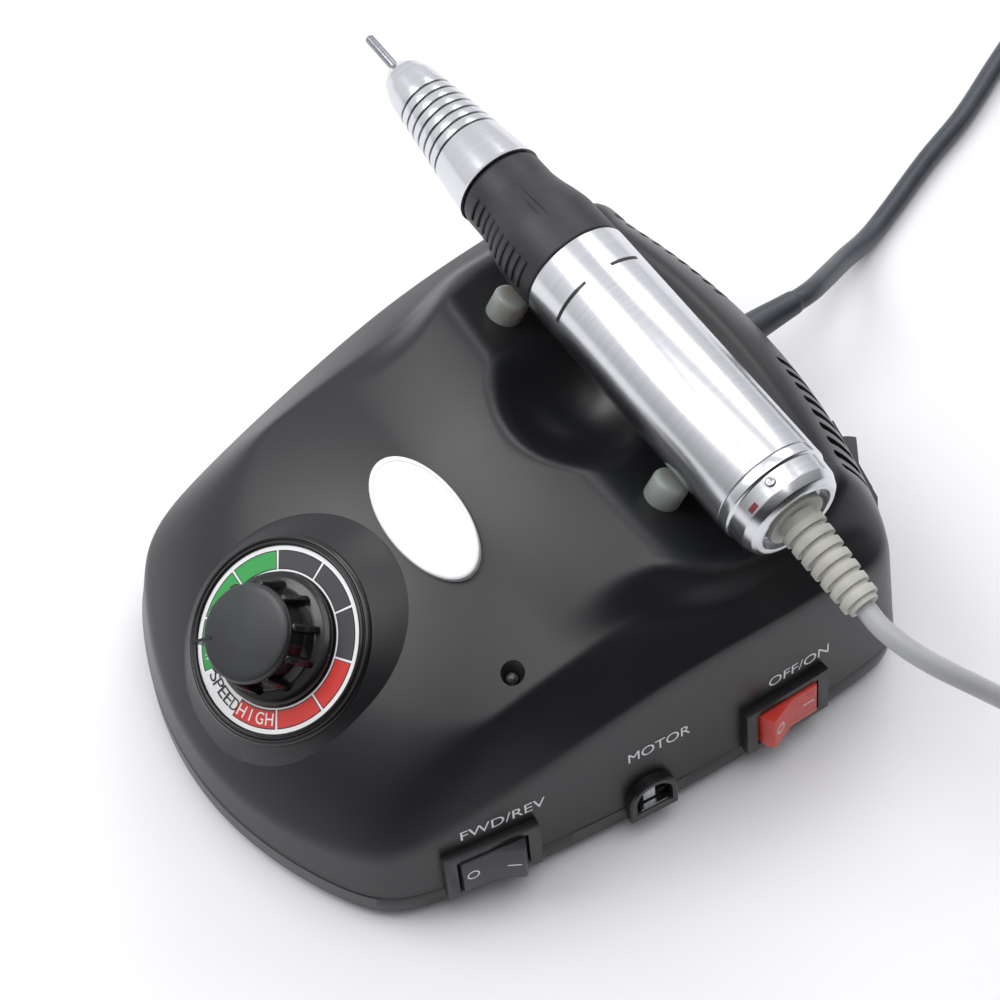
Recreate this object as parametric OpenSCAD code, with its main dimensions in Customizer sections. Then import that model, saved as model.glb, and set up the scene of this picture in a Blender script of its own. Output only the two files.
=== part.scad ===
// Electric nail drill: a mains-powered control unit with a speed dial and a
// handpiece cradle, and a motor handpiece that lies across the cradle.
// Millimetres. X points to the side with the switches, Y to the back, Z up.
// The origin is on the table, under the middle of the control unit.

/* [Housing] */
// Half of the housing's width, at the seam where it is widest
half_w = 67; // [65:0.5:68]
// Reach of the housing's front edge from the origin
front_y = 84; // [82:0.5:86]
// Reach of the housing's back edge from the origin
back_y = 86; // [84:0.5:88]
// Height of the seam between the tray and the top shell
seam_z = 11; // [10:0.5:12]
// Wall thickness of the top shell
wall = 2.4; // [2:0.1:2.8]
// Height of the roof before the saddle is added
roof_z = 66; // [64:0.5:67]
// Height of the saddle that carries the cradle
saddle_top = 71; // [70:0.5:72]
// Height of the rubber feet
foot_h = 3; // [2.5:0.5:4]

/* [Cradle and handpiece] */
// Radius of the cradle groove's floor
groove_r = 36; // [34:0.5:38]
// Height of the cradle groove's floor above the table
groove_floor = 61.6; // [61:0.1:62]
// Height of the handpiece's axis above the table
hand_z = 78.4; // [78:0.1:79]
// Distance of the handpiece's axis behind the origin
hand_y = 40; // [38:0.5:42]
// Radius of the handpiece's barrel
barrel_r = 13.25; // [12.8:0.05:13.4]
// Radius of the bit's shank
shank_r = 1.175; // [1.15:0.005:1.18]

/* [Speed dial] */
// Distance of the dial in front of the origin
dial_front = 58; // [56:0.5:60]
// Tilt of the dial towards the user, in degrees
dial_tilt = 34; // [30:1:36]
// Height of the dial's boss over the roof, at its middle
dial_rise = 0.2; // [0:0.1:0.5]
// Radius of the printed dial plate
dial_r = 20.5; // [20:0.25:21]
// Height of the knob above the dial plate
knob_h = 14.5; // [13:0.5:16]

/* [Hidden] */
$fn = 48;

// ---- Outline and roof of the housing -------------------------------------

draft = 9;              // draft of the side walls, in degrees
corner_power = 19;      // how square the outline's corners are
side_bow = 13;          // how much narrower the housing is 110 mm in front of its widest place
widest_y = 47;          // where the housing is widest
front_sag = 156;        // twice the radius of the bowed front edge
back_sag = 284;         // twice the radius of the bowed back edge
crease_top = 51.5;      // height of the crease over the side panels, beside the cradle
crease_slope = 0.165;   // how fast the crease falls towards the front
back_fall = 7;          // how much lower the crease runs round the back
roof_bow = 4.7;         // how much lower the roof is 43 mm beside its middle
shoulder_wide = 27;     // width of the rounded shoulder at the front and the back
shoulder_narrow = 13;   // width of the flat shoulder along the sides
groove_blend = 6;       // rounding of the cradle's rims
scoop_x = -4;           // middle of the finger scoop
scoop_y = 27;
scoop_z = 55;           // floor of the finger scoop
scoop_r = 13.5;         // curvature radius of the scoop's floor
boss_r = 23.4;          // radius of the dial boss's flat top
boss_deep = 12;         // how far the boss's flank runs down
boss_flare = 12.7;      // how much wider the boss is at its foot
dial_y = -dial_front;

function clamp01(t) = min(max(t, 0), 1);
function ease(t) = t * t * (3 - 2 * t);
function step_up(a, b, t) = ease(clamp01((t - a) / (b - a)));
function blend_min(a, b, k) = min(a, b) - pow(max(k - abs(a - b), 0) / k, 2) * k / 4;

function half_width(y) = half_w - side_bow * pow((widest_y - y) / 110, 2);
function end_reach(x, y) = y < 0 ? front_y - x * x / front_sag : back_y - x * x / back_sag;
function gauge(x, y) =
  pow(abs(x) / half_width(y), corner_power) + pow(abs(y) / end_reach(x, y), corner_power);
function reach(a, r = 70, n = 7) =
  n == 0 ? r : reach(a, r / pow(gauge(r * cos(a), r * sin(a)), 1 / corner_power), n - 1);

function crease_z(y) =
  crease_top - crease_slope * (sqrt(pow(y - 8, 2) + 196) - (y - 8)) - back_fall * step_up(46, 82, y);
function dome_z(x, y) = roof_z - 19 * pow(abs(30 - y) / 88.5, 2.4) - roof_bow * pow(x / 43, 2);
function flank_x(y) = 37 + 8 * step_up(0, 30, y);
function saddle_z(x, y) =
  let (
    in_saddle = step_up(-14, 22, y) * (1 - step_up(flank_x(y), flank_x(y) + 10, abs(x))),
    dome = dome_z(x, y)
  )
  dome + in_saddle * (saddle_top - 2 * pow(x / 43, 2) - dome);
back_narrow = 1.2;      // how much narrower the groove is behind the handpiece
function groove_z(dy) =
  let (d = max(-dy, back_narrow * dy))
  groove_floor + groove_r - sqrt(max(groove_r * groove_r - d * d, 4)) + 4 * max(0, d - groove_r);
function scoop_floor(x, y) = scoop_z + (pow(x - scoop_x, 2) + pow(y - scoop_y, 2)) / (2 * scoop_r);
dial_z = dome_z(0, dial_y) + dial_rise;
function roof(x, y) =
  blend_min(
    blend_min(saddle_z(x, y), groove_z(y - hand_y), groove_blend),
    scoop_floor(x, y), 5);

// ---- Top shell as a grid of rings round the middle -------------------------

sectors = 66;
rings = 26;
function sector_angle(i) = 360 * i / sectors;
function crease_reach(a) = reach(a) - tan(draft) * (crease_z(reach(a) * sin(a)) - seam_z);
function along_side(y) = step_up(-72, -38, y) - step_up(50, 76, y);
function shoulder_drop(a, rc, d) =
  let (
    s = along_side(rc * sin(a)),
    width = shoulder_wide + (shoulder_narrow - shoulder_wide) * s
  )
  (roof(rc * cos(a), rc * sin(a)) - crease_z(rc * sin(a)))
  * pow(max(0, 1 - d / width), 2.4 - 1.2 * s);
function skin_point(a, j) =
  j == 0 ? [reach(a) * cos(a), reach(a) * sin(a), seam_z] :
  let (rc = crease_reach(a), t = (j - 1) / rings, r = rc * (1 - t))
  [r * cos(a), r * sin(a), roof(r * cos(a), r * sin(a)) - shoulder_drop(a, rc, rc * t)];
function unit(v) = v / norm(v);
function inward(a, j) =
  let (
    du = skin_point(a + 2, j) - skin_point(a - 2, j),
    dv = skin_point(a, j + 0.5) - skin_point(a, max(j - 0.5, 1))
  )
  j == 0 ? [-cos(a), -sin(a), 0] : unit(cross(dv, du));

// Closed solid under the outer skin, or under the skin moved inwards by t
module skin_solid(t, floor_z) {
  outer = [for (j = [0:rings - 1], i = [0:sectors - 1])
    let (a = sector_angle(i), p = skin_point(a, j) + t * inward(a, j))
    j == 0 ? [p[0], p[1], floor_z] : p];
  top = [0, 0, roof(0, 0) - t];
  points = concat(outer, [top, [0, 0, floor_z]]);
  apex = rings * sectors;
  sides = [for (j = [0:rings - 2], i = [0:sectors - 1])
    let (k = (i + 1) % sectors)
    each [[j * sectors + i, (j + 1) * sectors + k, j * sectors + k],
          [j * sectors + i, (j + 1) * sectors + i, (j + 1) * sectors + k]]];
  cap = [for (i = [0:sectors - 1])
    [(rings - 1) * sectors + i, apex, (rings - 1) * sectors + (i + 1) % sectors]];
  base = [for (i = [0:sectors - 1]) [i, (i + 1) % sectors, apex + 1]];
  polyhedron(points, concat(sides, cap, base));
}

module outline(inset) {
  polygon([for (i = [0:sectors - 1])
    let (a = sector_angle(i)) (reach(a) - inset) * [cos(a), sin(a)]]);
}

// ---- Places on the panels ----------------------------------------------------

// Local X points out of the wall, local Z up along it
module on_side(y, z) {
  yaw = -atan(2 * side_bow * (widest_y - y) / 110 / 110);
  translate([half_width(y) - tan(draft) * (z - seam_z), y, z])
    rotate([0, 0, yaw]) rotate([0, -draft, 0]) children();
}

module on_back(x, z) {
  yaw = 90 - atan(2 * x / back_sag);
  translate([x, back_y - x * x / back_sag - tan(draft) * (z - seam_z), z])
    rotate([0, 0, yaw]) rotate([0, -draft, 0]) children();
}

module at_dial() {
  translate([0, dial_y, dial_z]) rotate([dial_tilt, 0, 0]) children();
}

// Local Z runs along the handpiece, from x towards its tail
module on_axis(x) {
  translate([x, hand_y, hand_z]) rotate([0, 90, 0]) children();
}

module ring(h, r_out, r_in) {
  difference() {
    cylinder(h = h, r = r_out);
    translate([0, 0, -1]) cylinder(h = h + 2, r = r_in);
  }
}

fwd_rev_y = -42;
power_y = 34;
side_switch_z = 16.8;
mode_x = 31;
mode_z = 27;
motor_jack_y = -2.5;
motor_jack_z = 13.5;
pedal_jack_x = 10;
pedal_jack_z = 24;
gland_x = -17;
gland_z = 25;
led_pos = [40.2, -23.9];
led_z = dome_z(led_pos[0], led_pos[1]);
screw_spots = [[50, 48], [-50, 48], [40, -48], [-40, -48]];
foot_spots = [[48, 62], [-48, 62], [38, -60], [-38, -60]];
switch_cut = [30, 20, 13.4];
tray_floor = 2.4;
tray_wall = 2.6;

module panel_cuts() {
  on_side(fwd_rev_y, side_switch_z) cube(switch_cut, center = true);
  on_side(power_y, side_switch_z) cube(switch_cut, center = true);
  on_side(motor_jack_y, motor_jack_z) rotate([0, 90, 0]) cylinder(h = 30, r = 5.2, center = true);
  on_back(mode_x, mode_z) cube(switch_cut, center = true);
  on_back(pedal_jack_x, pedal_jack_z) rotate([0, 90, 0]) cylinder(h = 30, r = 4.2, center = true);
  on_back(gland_x, gland_z) rotate([0, 90, 0]) cylinder(h = 30, r = 4.2, center = true);
}

// ---- Housing -------------------------------------------------------------------

module base_tray() color("#2b2c2e") {
  difference() {
    union() {
      difference() {
        translate([0, 0, foot_h]) linear_extrude(seam_z - foot_h) outline(0);
        translate([0, 0, foot_h + tray_floor]) linear_extrude(seam_z) outline(tray_wall);
      }
      for (p = screw_spots) translate([p[0], p[1], foot_h]) cylinder(h = seam_z - foot_h, r = 5);
      for (p = board_spots) translate([p[0], p[1], foot_h]) cylinder(h = board_z - foot_h, r = 3);
    }
    for (p = screw_spots) translate([p[0], p[1], 0]) {
      cylinder(h = seam_z + 1, r = 1.8);
      cylinder(h = foot_h + 3, r = 3.4);
    }
    for (p = board_spots) translate([p[0], p[1], board_z - 6]) cylinder(h = 8, r = 1.2);
    for (p = foot_spots) translate([p[0], p[1], 0]) cylinder(h = foot_h + 1, r = 6.2);
    panel_cuts();
  }
}

vent_groups = [-43.5, 12];
vent_pitch = 3.94;
vent_count = 9;

vent_half_len = 6.5;
vent_y = 75;
vent_z = 55.4;

module vent_slot(x) {
  translate([x, vent_y - x * x / back_sag, vent_z])
    rotate([0, 0, -atan(2 * x / back_sag)]) rotate([-58, 0, 0]) hull() {
      for (s = [-1, 1]) translate([0, s * vent_half_len, -6]) cylinder(h = 12, r = 1.05, $fn = 16);
    }
}

module top_shell() color("#232426") {
  difference() {
    union() {
      difference() {
        union() {
          skin_solid(0, seam_z);
          at_dial() translate([0, 0, -boss_deep])
            cylinder(h = boss_deep, r1 = boss_r + boss_flare, r2 = boss_r, $fn = 72);
        }
        skin_solid(wall, seam_z - 1);
        at_dial() cylinder(h = 9, r = boss_r, $fn = 72);
        at_dial() translate([0, 0, -wall - 14]) cylinder(h = 14, r = pot_r + 1);
      }
      intersection() {
        skin_solid(wall / 2, seam_z);
        for (p = screw_spots) translate([p[0], p[1], seam_z]) cylinder(h = 60, r = 4.5, $fn = 24);
      }
    }
    for (p = screw_spots) translate([p[0], p[1], seam_z - 1]) cylinder(h = 14, r = 1.6, $fn = 24);
    for (g = vent_groups, k = [0:vent_count - 1]) vent_slot(g + vent_pitch * k);
    panel_cuts();
    at_dial() cylinder(h = 20, r = 3.8, center = true);
    translate([led_pos[0], led_pos[1], 40]) cylinder(h = 30, r = 1.7, $fn = 24);
    translate([led_pos[0], led_pos[1], led_z - 1.6]) cylinder(h = 4, r1 = 1.7, r2 = 4, $fn = 24);
  }
}

module rubber_feet() color("#1c1c1c") {
  for (p = foot_spots) translate([p[0], p[1], 0]) cylinder(h = foot_h + 0.9, r = 6);
}

module case_screws() color("#b8b8b8") {
  for (p = screw_spots) translate([p[0], p[1], foot_h + 1]) {
    cylinder(h = 1.9, r = 3);
    cylinder(h = 17, r = 1.5);
  }
}

// ---- Power supply inside ------------------------------------------------------------

core_pos = [-12, 44, foot_h + tray_floor];
core_size = [48, 22, 38];
leg_w = 16;
window = [9, 22];

module transformer_core() color("#6d7075") translate(core_pos) {
  difference() {
    translate([-core_size[0] / 2, -core_size[1] / 2, 2]) cube(core_size);
    for (s = [-1, 1]) translate([s * (leg_w + window[0]) / 2, 0, 2 + core_size[2] / 2])
      cube([window[0], core_size[1] + 2, window[1]], center = true);
  }
  difference() {
    translate([-32, -8, 0]) cube([64, 16, 2]);
    for (s = [-1, 1]) translate([s * 28, 0, -1]) cylinder(h = 4, r = 1.7);
  }
}

module transformer_coil() color("#b06a2c") translate(core_pos + [0, 0, 2 + core_size[2] / 2]) {
  difference() {
    cube([leg_w + 2 * window[0] - 0.6, 36, window[1] - 0.6], center = true);
    cube([leg_w + 0.4, core_size[1] + 0.6, window[1] + 2], center = true);
  }
}

module transformer_screws() color("#c0c0c0") translate(core_pos) {
  for (s = [-1, 1]) translate([s * 28, 0, -tray_floor + 0.6]) {
    cylinder(h = 5, r = 1.5);
    translate([0, 0, tray_floor + 1.4]) cylinder(h = 1.8, r = 2.8);
  }
}

board_z = 13;
board_size = [72, 44, 1.6];
board_pos = [-2, -20];
board_spots = [for (sx = [-1, 1], sy = [-1, 1])
  board_pos + [sx * (board_size[0] / 2 - 4), sy * (board_size[1] / 2 - 4)]];
board_top = board_z + board_size[2];

module control_board() color("#2f6b3c") {
  difference() {
    translate([board_pos[0] - board_size[0] / 2, board_pos[1] - board_size[1] / 2, board_z])
      cube(board_size);
    for (p = board_spots) translate([p[0], p[1], board_z - 1]) cylinder(h = 4, r = 1.3);
  }
}

module board_screws() color("#c0c0c0") {
  for (p = board_spots) translate([p[0], p[1], board_z - 4.5]) {
    cylinder(h = 6.1, r = 1.1);
    translate([0, 0, 4.5 + board_size[2]]) cylinder(h = 1.6, r = 2.3);
  }
}

module filter_capacitors() color("#1f2f66") {
  translate([-24, -12, board_top]) cylinder(h = 24, r = 7);
  translate([-7, -12, board_top]) cylinder(h = 16, r = 5);
}

sink_pos = [4, -12, board_top];

module heat_sink() color("#9a9da0") translate(sink_pos) {
  cube([22, 2, 24]);
  for (k = [0:4]) translate([k * 5, 2, 0]) cube([1.6, 9, 24]);
}

module power_transistor() color("#1d1d1f") translate(sink_pos + [6, -4.6, 0]) {
  translate([0, 0, 6]) cube([10, 4.6, 15]);
  for (k = [-1, 0, 1]) translate([5 + 2.5 * k - 0.4, 1.6, 0]) cube([0.8, 0.8, 6]);
}

// ---- Speed dial -----------------------------------------------------------------------

plate_t = 0.8;
bushing_r = 3.5;
shaft_r = 2.95;
knob_low = plate_t + 0.7;
skirt_r = 14.8;
core_r = 11;
pot_r = 8.5;
rib_count = 10;

module speed_pot() color("#8f8a7a") at_dial() {
  difference() {
    union() {
      translate([0, 0, -wall - 11]) cylinder(h = 10.6, r = pot_r);
      translate([0, 0, -wall - 1]) cylinder(h = wall + 1 + plate_t - 0.2, r = bushing_r);
    }
    translate([0, 0, -wall - 9]) cylinder(h = 30, r = 3);
  }
}

module pot_nut() color("#c7c7c7") at_dial() {
  translate([0, 0, 0.05]) difference() {
    cylinder(h = 1.1, r = 6, $fn = 6);
    translate([0, 0, -1]) cylinder(h = 4, r = bushing_r + 0.05);
  }
}

module pot_shaft() color("#d8d8d8") at_dial() {
  translate([0, 0, -wall - 8.8]) cylinder(h = wall + 8.8 + 9, r = shaft_r);
}

module dial_plate() color("#f2f2f2") at_dial() {
  translate([0, 0, 0.05]) ring(plate_t - 0.05, dial_r, 6.6);
}

module speed_knob() color("#141414") at_dial() {
  difference() {
    union() {
      translate([0, 0, knob_low]) cylinder(h = 2, r = skirt_r);
      translate([0, 0, knob_low]) cylinder(h = knob_h - 3, r = core_r);
      for (k = [0:rib_count - 1]) rotate([0, 0, 18 + 36 * k])
        translate([core_r - 1, -0.7, knob_low]) cube([3.2, 1.4, knob_h - 5]);
      rotate([0, 0, 234]) translate([8.4, -0.35, knob_low + 0.6]) cube([5.8, 0.7, knob_h - 3.6]);
    }
    translate([0, 0, -1]) cylinder(h = 10, r = shaft_r);
  }
}

module knob_cap() color("#1c1c1e") at_dial() {
  translate([0, 0, knob_low + knob_h - 3]) rotate_extrude()
    intersection() {
      translate([0, -32.2]) circle(r = 34, $fn = 120);
      square([core_r + 0.3, 3]);
    }
}

// ---- Small fittings on the shell --------------------------------------------------------

badge_y = -19;
badge_tilt = 16;
badge_half = [17.6, 8.8];

module oval_badge() color("#f4f4f4") {
  translate([0, badge_y, dome_z(0, badge_y) + 0.3]) rotate([badge_tilt, 0, 0])
    scale([badge_half[0] / badge_half[1], 1, 1]) cylinder(h = 1.2, r = badge_half[1], $fn = 96);
}

module power_led() color("#e8d9c8") {
  translate([led_pos[0], led_pos[1], led_z - 7.8]) {
    cylinder(h = 6, r = 1.45);
    translate([0, 0, 6]) sphere(r = 1.45);
    translate([0, 0, -1]) cylinder(h = 1, r = 2.6);
  }
}

pad_x = [-33, 27];
pad_out = 13.4;
pad_z = 66.3;
pad_r = 4.3;
pad_tilt = 30;

module cradle_pads() color("#8b8d90") {
  for (x = pad_x, s = [-1, 1]) translate([x, hand_y + s * pad_out, pad_z]) rotate([s * pad_tilt, 0, 0]) {
    translate([0, 0, -4]) cylinder(h = 7, r = pad_r);
    translate([0, 0, 3]) cylinder(h = 0.8, r1 = pad_r, r2 = pad_r - 0.8);
  }
}

// ---- Rocker switches ----------------------------------------------------------------------

rocker_r = 8.2;
rocker_w = 10.6;
rocker_tilt = 11;
pivot_x = 0.2;
pivot_r = 1;
flange = [2.4, 23, 15.2];

module switch_bezel() {
  difference() {
    union() {
      translate([0, -flange[1] / 2, -flange[2] / 2]) cube(flange);
      translate([-13, -9.7, -6.5]) cube([13.5, 19.4, 13]);
    }
    translate([-8.5, -rocker_r - 0.4, -rocker_w / 2 - 0.4])
      cube([20, 2 * rocker_r + 0.8, rocker_w + 0.8]);
    translate([pivot_x, 0, -rocker_w / 2 - 1]) cylinder(h = rocker_w + 2, r = pivot_r + 0.05);
  }
}

module switch_rocker() {
  translate([pivot_x, 0, 0]) {
    intersection() {
      translate([0, 0, -rocker_w / 2]) cylinder(h = rocker_w, r = rocker_r, $fn = 96);
      translate([0, 0, -rocker_w / 2]) linear_extrude(rocker_w)
        polygon([[-3, -9], [-3, 9], [4.6, 9], [2.9, 0], [4.6, -9]]);
    }
    translate([0, 0, -rocker_w / 2 - 0.9]) cylinder(h = rocker_w + 1.8, r = pivot_r);
  }
}

module rocked(angle) {
  translate([pivot_x, 0, 0]) rotate([0, 0, angle]) translate([-pivot_x, 0, 0]) children();
}

module fwd_rev_bezel() color("#1b1b1d") on_side(fwd_rev_y, side_switch_z) switch_bezel();
module fwd_rev_rocker() color("#26272a")
  on_side(fwd_rev_y, side_switch_z) rocked(-rocker_tilt) switch_rocker();
module power_bezel() color("#1b1b1d") on_side(power_y, side_switch_z) switch_bezel();
module power_rocker() color("#d8352c")
  on_side(power_y, side_switch_z) rocked(rocker_tilt) switch_rocker();
module mode_bezel() color("#1b1b1d") on_back(mode_x, mode_z) switch_bezel();
module mode_rocker() color("#26272a")
  on_back(mode_x, mode_z) rocked(-rocker_tilt) switch_rocker();

// ---- Sockets and the mains gland ------------------------------------------------------------

jack_bore_r = 2.8;

module jack_body(collar_r) {
  rotate([0, 90, 0]) difference() {
    translate([0, 0, -12]) cylinder(h = 12.2, r = collar_r);
    translate([0, 0, -10]) cylinder(h = 20, r = jack_bore_r);
  }
}

module motor_jack() color("#1b1b1d") on_side(motor_jack_y, motor_jack_z) {
  jack_body(5);
  difference() {
    translate([0.2, 0, 0]) rotate([0, 90, 0]) union() {
      cylinder(h = 1.6, r = 6.2);
      translate([0, -6.2, 0]) cube([6.4, 12.4, 1.6]);
    }
    translate([-1, 0, 0]) rotate([0, 90, 0]) cylinder(h = 4, r = 4);
  }
}

module pedal_jack() color("#1b1b1d") on_back(pedal_jack_x, pedal_jack_z) {
  jack_body(4);
  translate([0.2, 0, 0]) rotate([0, 90, 0]) ring(1.4, 5.6, jack_bore_r);
}

mains_r = 2.75;

module mains_gland() color("#2c2f33") {
  on_back(gland_x, gland_z) rotate([0, 90, 0]) {
    translate([0, 0, -7]) cylinder(h = 7.2, r = 4);
    translate([0, 0, 0.2]) cylinder(h = 1.8, r = 6);
  }
  translate([gland_x, back_y - 3, gland_z]) rotate([-90, 0, 0])
    cylinder(h = mains_route[0][1] - back_y + 3, r1 = 3.8, r2 = 3);
}

// ---- Handpiece ---------------------------------------------------------------------------------

nose_x = -97;
shoulder_x = -87.5;
sleeve_x = -54.5;
barrel_x = -25;
cap_x = 44;
tail_x = 54.5;
neck_r = 9.2;
barrel_in = 11.6;
nose_groove_pitch = 2.75;

module nose_cone() color("#c9ccd0") on_axis(nose_x) {
  difference() {
    rotate_extrude($fn = 72) polygon([
      [2.1, 0], [2.7, 0], [5.1, 2.7], [6.4, 6.2], [7.05, shoulder_x - nose_x + 1],
      [10.75, sleeve_x - nose_x - 1], [11, sleeve_x - nose_x - 0.3], [neck_r, sleeve_x - nose_x - 0.3],
      [neck_r, barrel_x - nose_x + 2], [7, barrel_x - nose_x + 2], [7, 43.5], [6.6, 43.5],
      [6.6, 36], [5.5, 36], [5.5, 12], [2.9, 12], [2.9, 3.2], [2.1, 3.2]
    ]);
    for (k = [0:6]) translate([0, 0, 12.6 + nose_groove_pitch * k]) difference() {
      cylinder(h = 0.7, r = 12);
      translate([0, 0, -1]) cylinder(h = 3, r = 7.1 + 0.31 * k);
    }
  }
}

module lock_sleeve() color("#1a1a1c") on_axis(sleeve_x) {
  rotate_extrude($fn = 72) polygon([
    [neck_r + 0.08, 0], [10.2, 0], [10.7, 0.8], [10.8, 7], [12.9, 17], [13.1, 18.5],
    [13.1, 29.2], [neck_r + 0.08, 29.2]
  ]);
}

module rear_barrel() color("#c4c6ca") on_axis(barrel_x) {
  difference() {
    cylinder(h = cap_x - barrel_x, r = barrel_r, $fn = 96);
    translate([0, 0, 2]) cylinder(h = 100, r = barrel_in);
    translate([0, 0, -1]) cylinder(h = 4, r = neck_r + 0.05);
  }
}

module end_cap() color("#bfc1c5") on_axis(cap_x) {
  rotate_extrude($fn = 96) polygon([
    [5, -4], [barrel_in - 0.1, -4], [barrel_in - 0.1, 0], [barrel_r, 0], [barrel_r, 2.6],
    [12.7, 3], [12.4, 7.2], [11.4, 9.3], [10.2, 10.2], [9, 10.2], [9, 7], [5, 7]
  ]);
}

module end_cap_screws() color("#d5d5d5") {
  for (a = [19, 199]) on_axis(cap_x + 4.6) rotate([0, 0, a])
    translate([-barrel_r + 0.35, 0, 0]) rotate([0, 90, 0]) cylinder(h = 1.2, r = 1);
}

boot_droop = 8;
boot_len = 24;
boot_start = 51.3;
cord_r = 2.3;

module cord_boot() color("#b4b4ab") {
  on_axis(boot_start) cylinder(h = 3, r = 7);
  on_axis(boot_start - 9) cylinder(h = 9, r = 4.6);
  translate([boot_start + 2.5, hand_y, hand_z]) rotate([0, 90 + boot_droop, 0]) {
    cylinder(h = boot_len, r1 = 4.4, r2 = 3.5);
    for (k = [0:6]) translate([0, 0, 2.2 + 3.1 * k]) cylinder(h = 1.9, r = 5.2 - 0.14 * k);
  }
}

motor_x = -16;
motor_len = 44;

module motor_can() color("#85888d") on_axis(motor_x) {
  difference() {
    cylinder(h = motor_len, r = 11.3);
    translate([0, 0, 2]) cylinder(h = motor_len, r = 9.6);
    translate([0, 0, -1]) cylinder(h = 5, r = 2.05);
  }
}

module brush_cap() color("#3a3a3a") on_axis(motor_x + motor_len) {
  ring(7, 11.3, 2.05);
}

module front_bearing() color("#aeb2b8") on_axis(-78) ring(4, 5.45, 2.5);
module rear_bearing() color("#aeb2b8") on_axis(-60.9) ring(5, 6.55, 2.5);
module chuck_spring() color("#9c9c9c") on_axis(-72) {
  for (k = [0:5]) translate([0, 0, 0.2 + 1.8 * k]) ring(1, 4.2, 3.2);
}

coupling_x = -38;

module spindle() color("#d0d3d6") on_axis(-93) {
  difference() {
    cylinder(h = 93 + coupling_x, r = 2.45);
    translate([0, 0, -1]) cylinder(h = 24, r = 2);
  }
  translate([0, 0, 47]) ring(6, 5, 2.45);
}

module collet() color("#a8abb0") on_axis(-94.6) {
  ring(22, 1.95, shank_r + 0.025);
}

module rotor() color("#7a4a2a") {
  on_axis(coupling_x) cylinder(h = 72, r = 2);
  on_axis(motor_x + 6) ring(30, 9, 2);
}

bit_tip_x = -109;
bit_len = 34;

module nail_bit() color("#c9b98f") on_axis(bit_tip_x) {
  cylinder(h = 0.3, r1 = shank_r - 0.3, r2 = shank_r);
  translate([0, 0, 0.3]) cylinder(h = bit_len - 0.3, r = shank_r);
}

// ---- Cords ----------------------------------------------------------------------------------------

mains_route = [
  [-17, 103, 25], [-18, 109, 23.5], [-22, 118, 18], [-28, 130, 9.5], [-32.5, 142, 3.6],
  [-37, 154, 2.8], [-44, 172, 2.8], [-50, 190, 2.8], [-58, 208, 2.8], [-68, 230, 2.8], [-78, 253, 2.8]
];
mains_tail = [[-44, 301, 2.8], [-30, 304, 2.8], [-18, 311, 4], [-11, 322, 6.5], [-10, 334, 7]];
mains_coil_pos = [-51, 265];
handpiece_route = [
  [78, 40, 74.6], [84, 40.4, 73.6], [93, 44, 71], [103, 52, 65], [112, 64, 52], [118, 78, 33],
  [122, 93, 14], [124, 108, 3.2], [125.5, 124, 2.4], [126, 140, 2.4]
];
handpiece_tail = [[154, 167, 2.3], [164, 169.5, 2.3], [172, 175, 3], [176, 183, 4.2], [177, 191, 4.5]];
handpiece_coil_pos = [151, 140];

// Smooth curve through the route: t counts the route's points
function on_route(p, t) =
  let (
    n = len(p), i = min(floor(t), n - 2), f = t - i,
    a = p[max(i - 1, 0)], b = p[i], c = p[i + 1], d = p[min(i + 2, n - 1)]
  )
  0.5 * (2 * b + (c - a) * f + (2 * a - 5 * b + 4 * c - d) * f * f
    + (3 * b - a - 3 * c + d) * f * f * f);

module tube(route, r, sides, per_point) {
  n = (len(route) - 1) * per_point;
  points = [for (k = [0:n], s = [0:sides - 1])
    let (
      t = k / per_point,
      dir = unit(on_route(route, min(t + 0.05, len(route) - 1)) - on_route(route, max(t - 0.05, 0))),
      side = unit(cross(dir, [0, 0, 1])),
      up = cross(side, dir),
      a = 360 * (s + 0.5) / sides
    )
    on_route(route, t) + r * (cos(a) * side + sin(a) * up)];
  walls = [for (k = [0:n - 1], s = [0:sides - 1])
    let (u = (s + 1) % sides)
    each [[k * sides + s, (k + 1) * sides + u, k * sides + u],
          [k * sides + s, (k + 1) * sides + s, (k + 1) * sides + u]]];
  start = [for (s = [1:sides - 2]) [0, s, s + 1]];
  end = [for (s = [1:sides - 2]) [n * sides, n * sides + s + 1, n * sides + s]];
  polyhedron(points, concat(walls, start, end));
}

module mains_cord() color("#3a3f45") {
  tube(mains_route, mains_r, 10, 2);
  tube(mains_tail, mains_r, 10, 2);
}

module mains_coil() color("#3a3f45") translate([mains_coil_pos[0], mains_coil_pos[1], 0])
  ring(17, 38, 24);

module mains_plug() color("#2a2c2f") translate([mains_tail[4][0], mains_tail[4][1], 7]) rotate([-90, 0, 0]) {
  cylinder(h = 20, r1 = 3.6, r2 = 6);
  translate([-9, -6.9, 20]) cube([18, 13.8, 16]);
  for (s = [-1, 1]) translate([s * 6, 0, 36]) cylinder(h = 18, r = 2);
}

module handpiece_cord() color("#a9aaac") {
  tube(handpiece_route, cord_r, 8, 2);
  tube(handpiece_tail, cord_r, 8, 2);
}

module handpiece_coil() color("#a9aaac") {
  translate([handpiece_coil_pos[0], handpiece_coil_pos[1], 0]) ring(12, 31, 19);
}

module motor_plug() color("#2a2c2f")
  translate([handpiece_tail[4][0], handpiece_tail[4][1], 4.5]) rotate([-90, 0, 0]) {
    cylinder(h = 9, r1 = 3, r2 = 4.4);
    translate([0, 0, 9]) cylinder(h = 14, r = 4.4);
    translate([0, 0, 23]) cylinder(h = 9, r = 2.7);
  }

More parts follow.
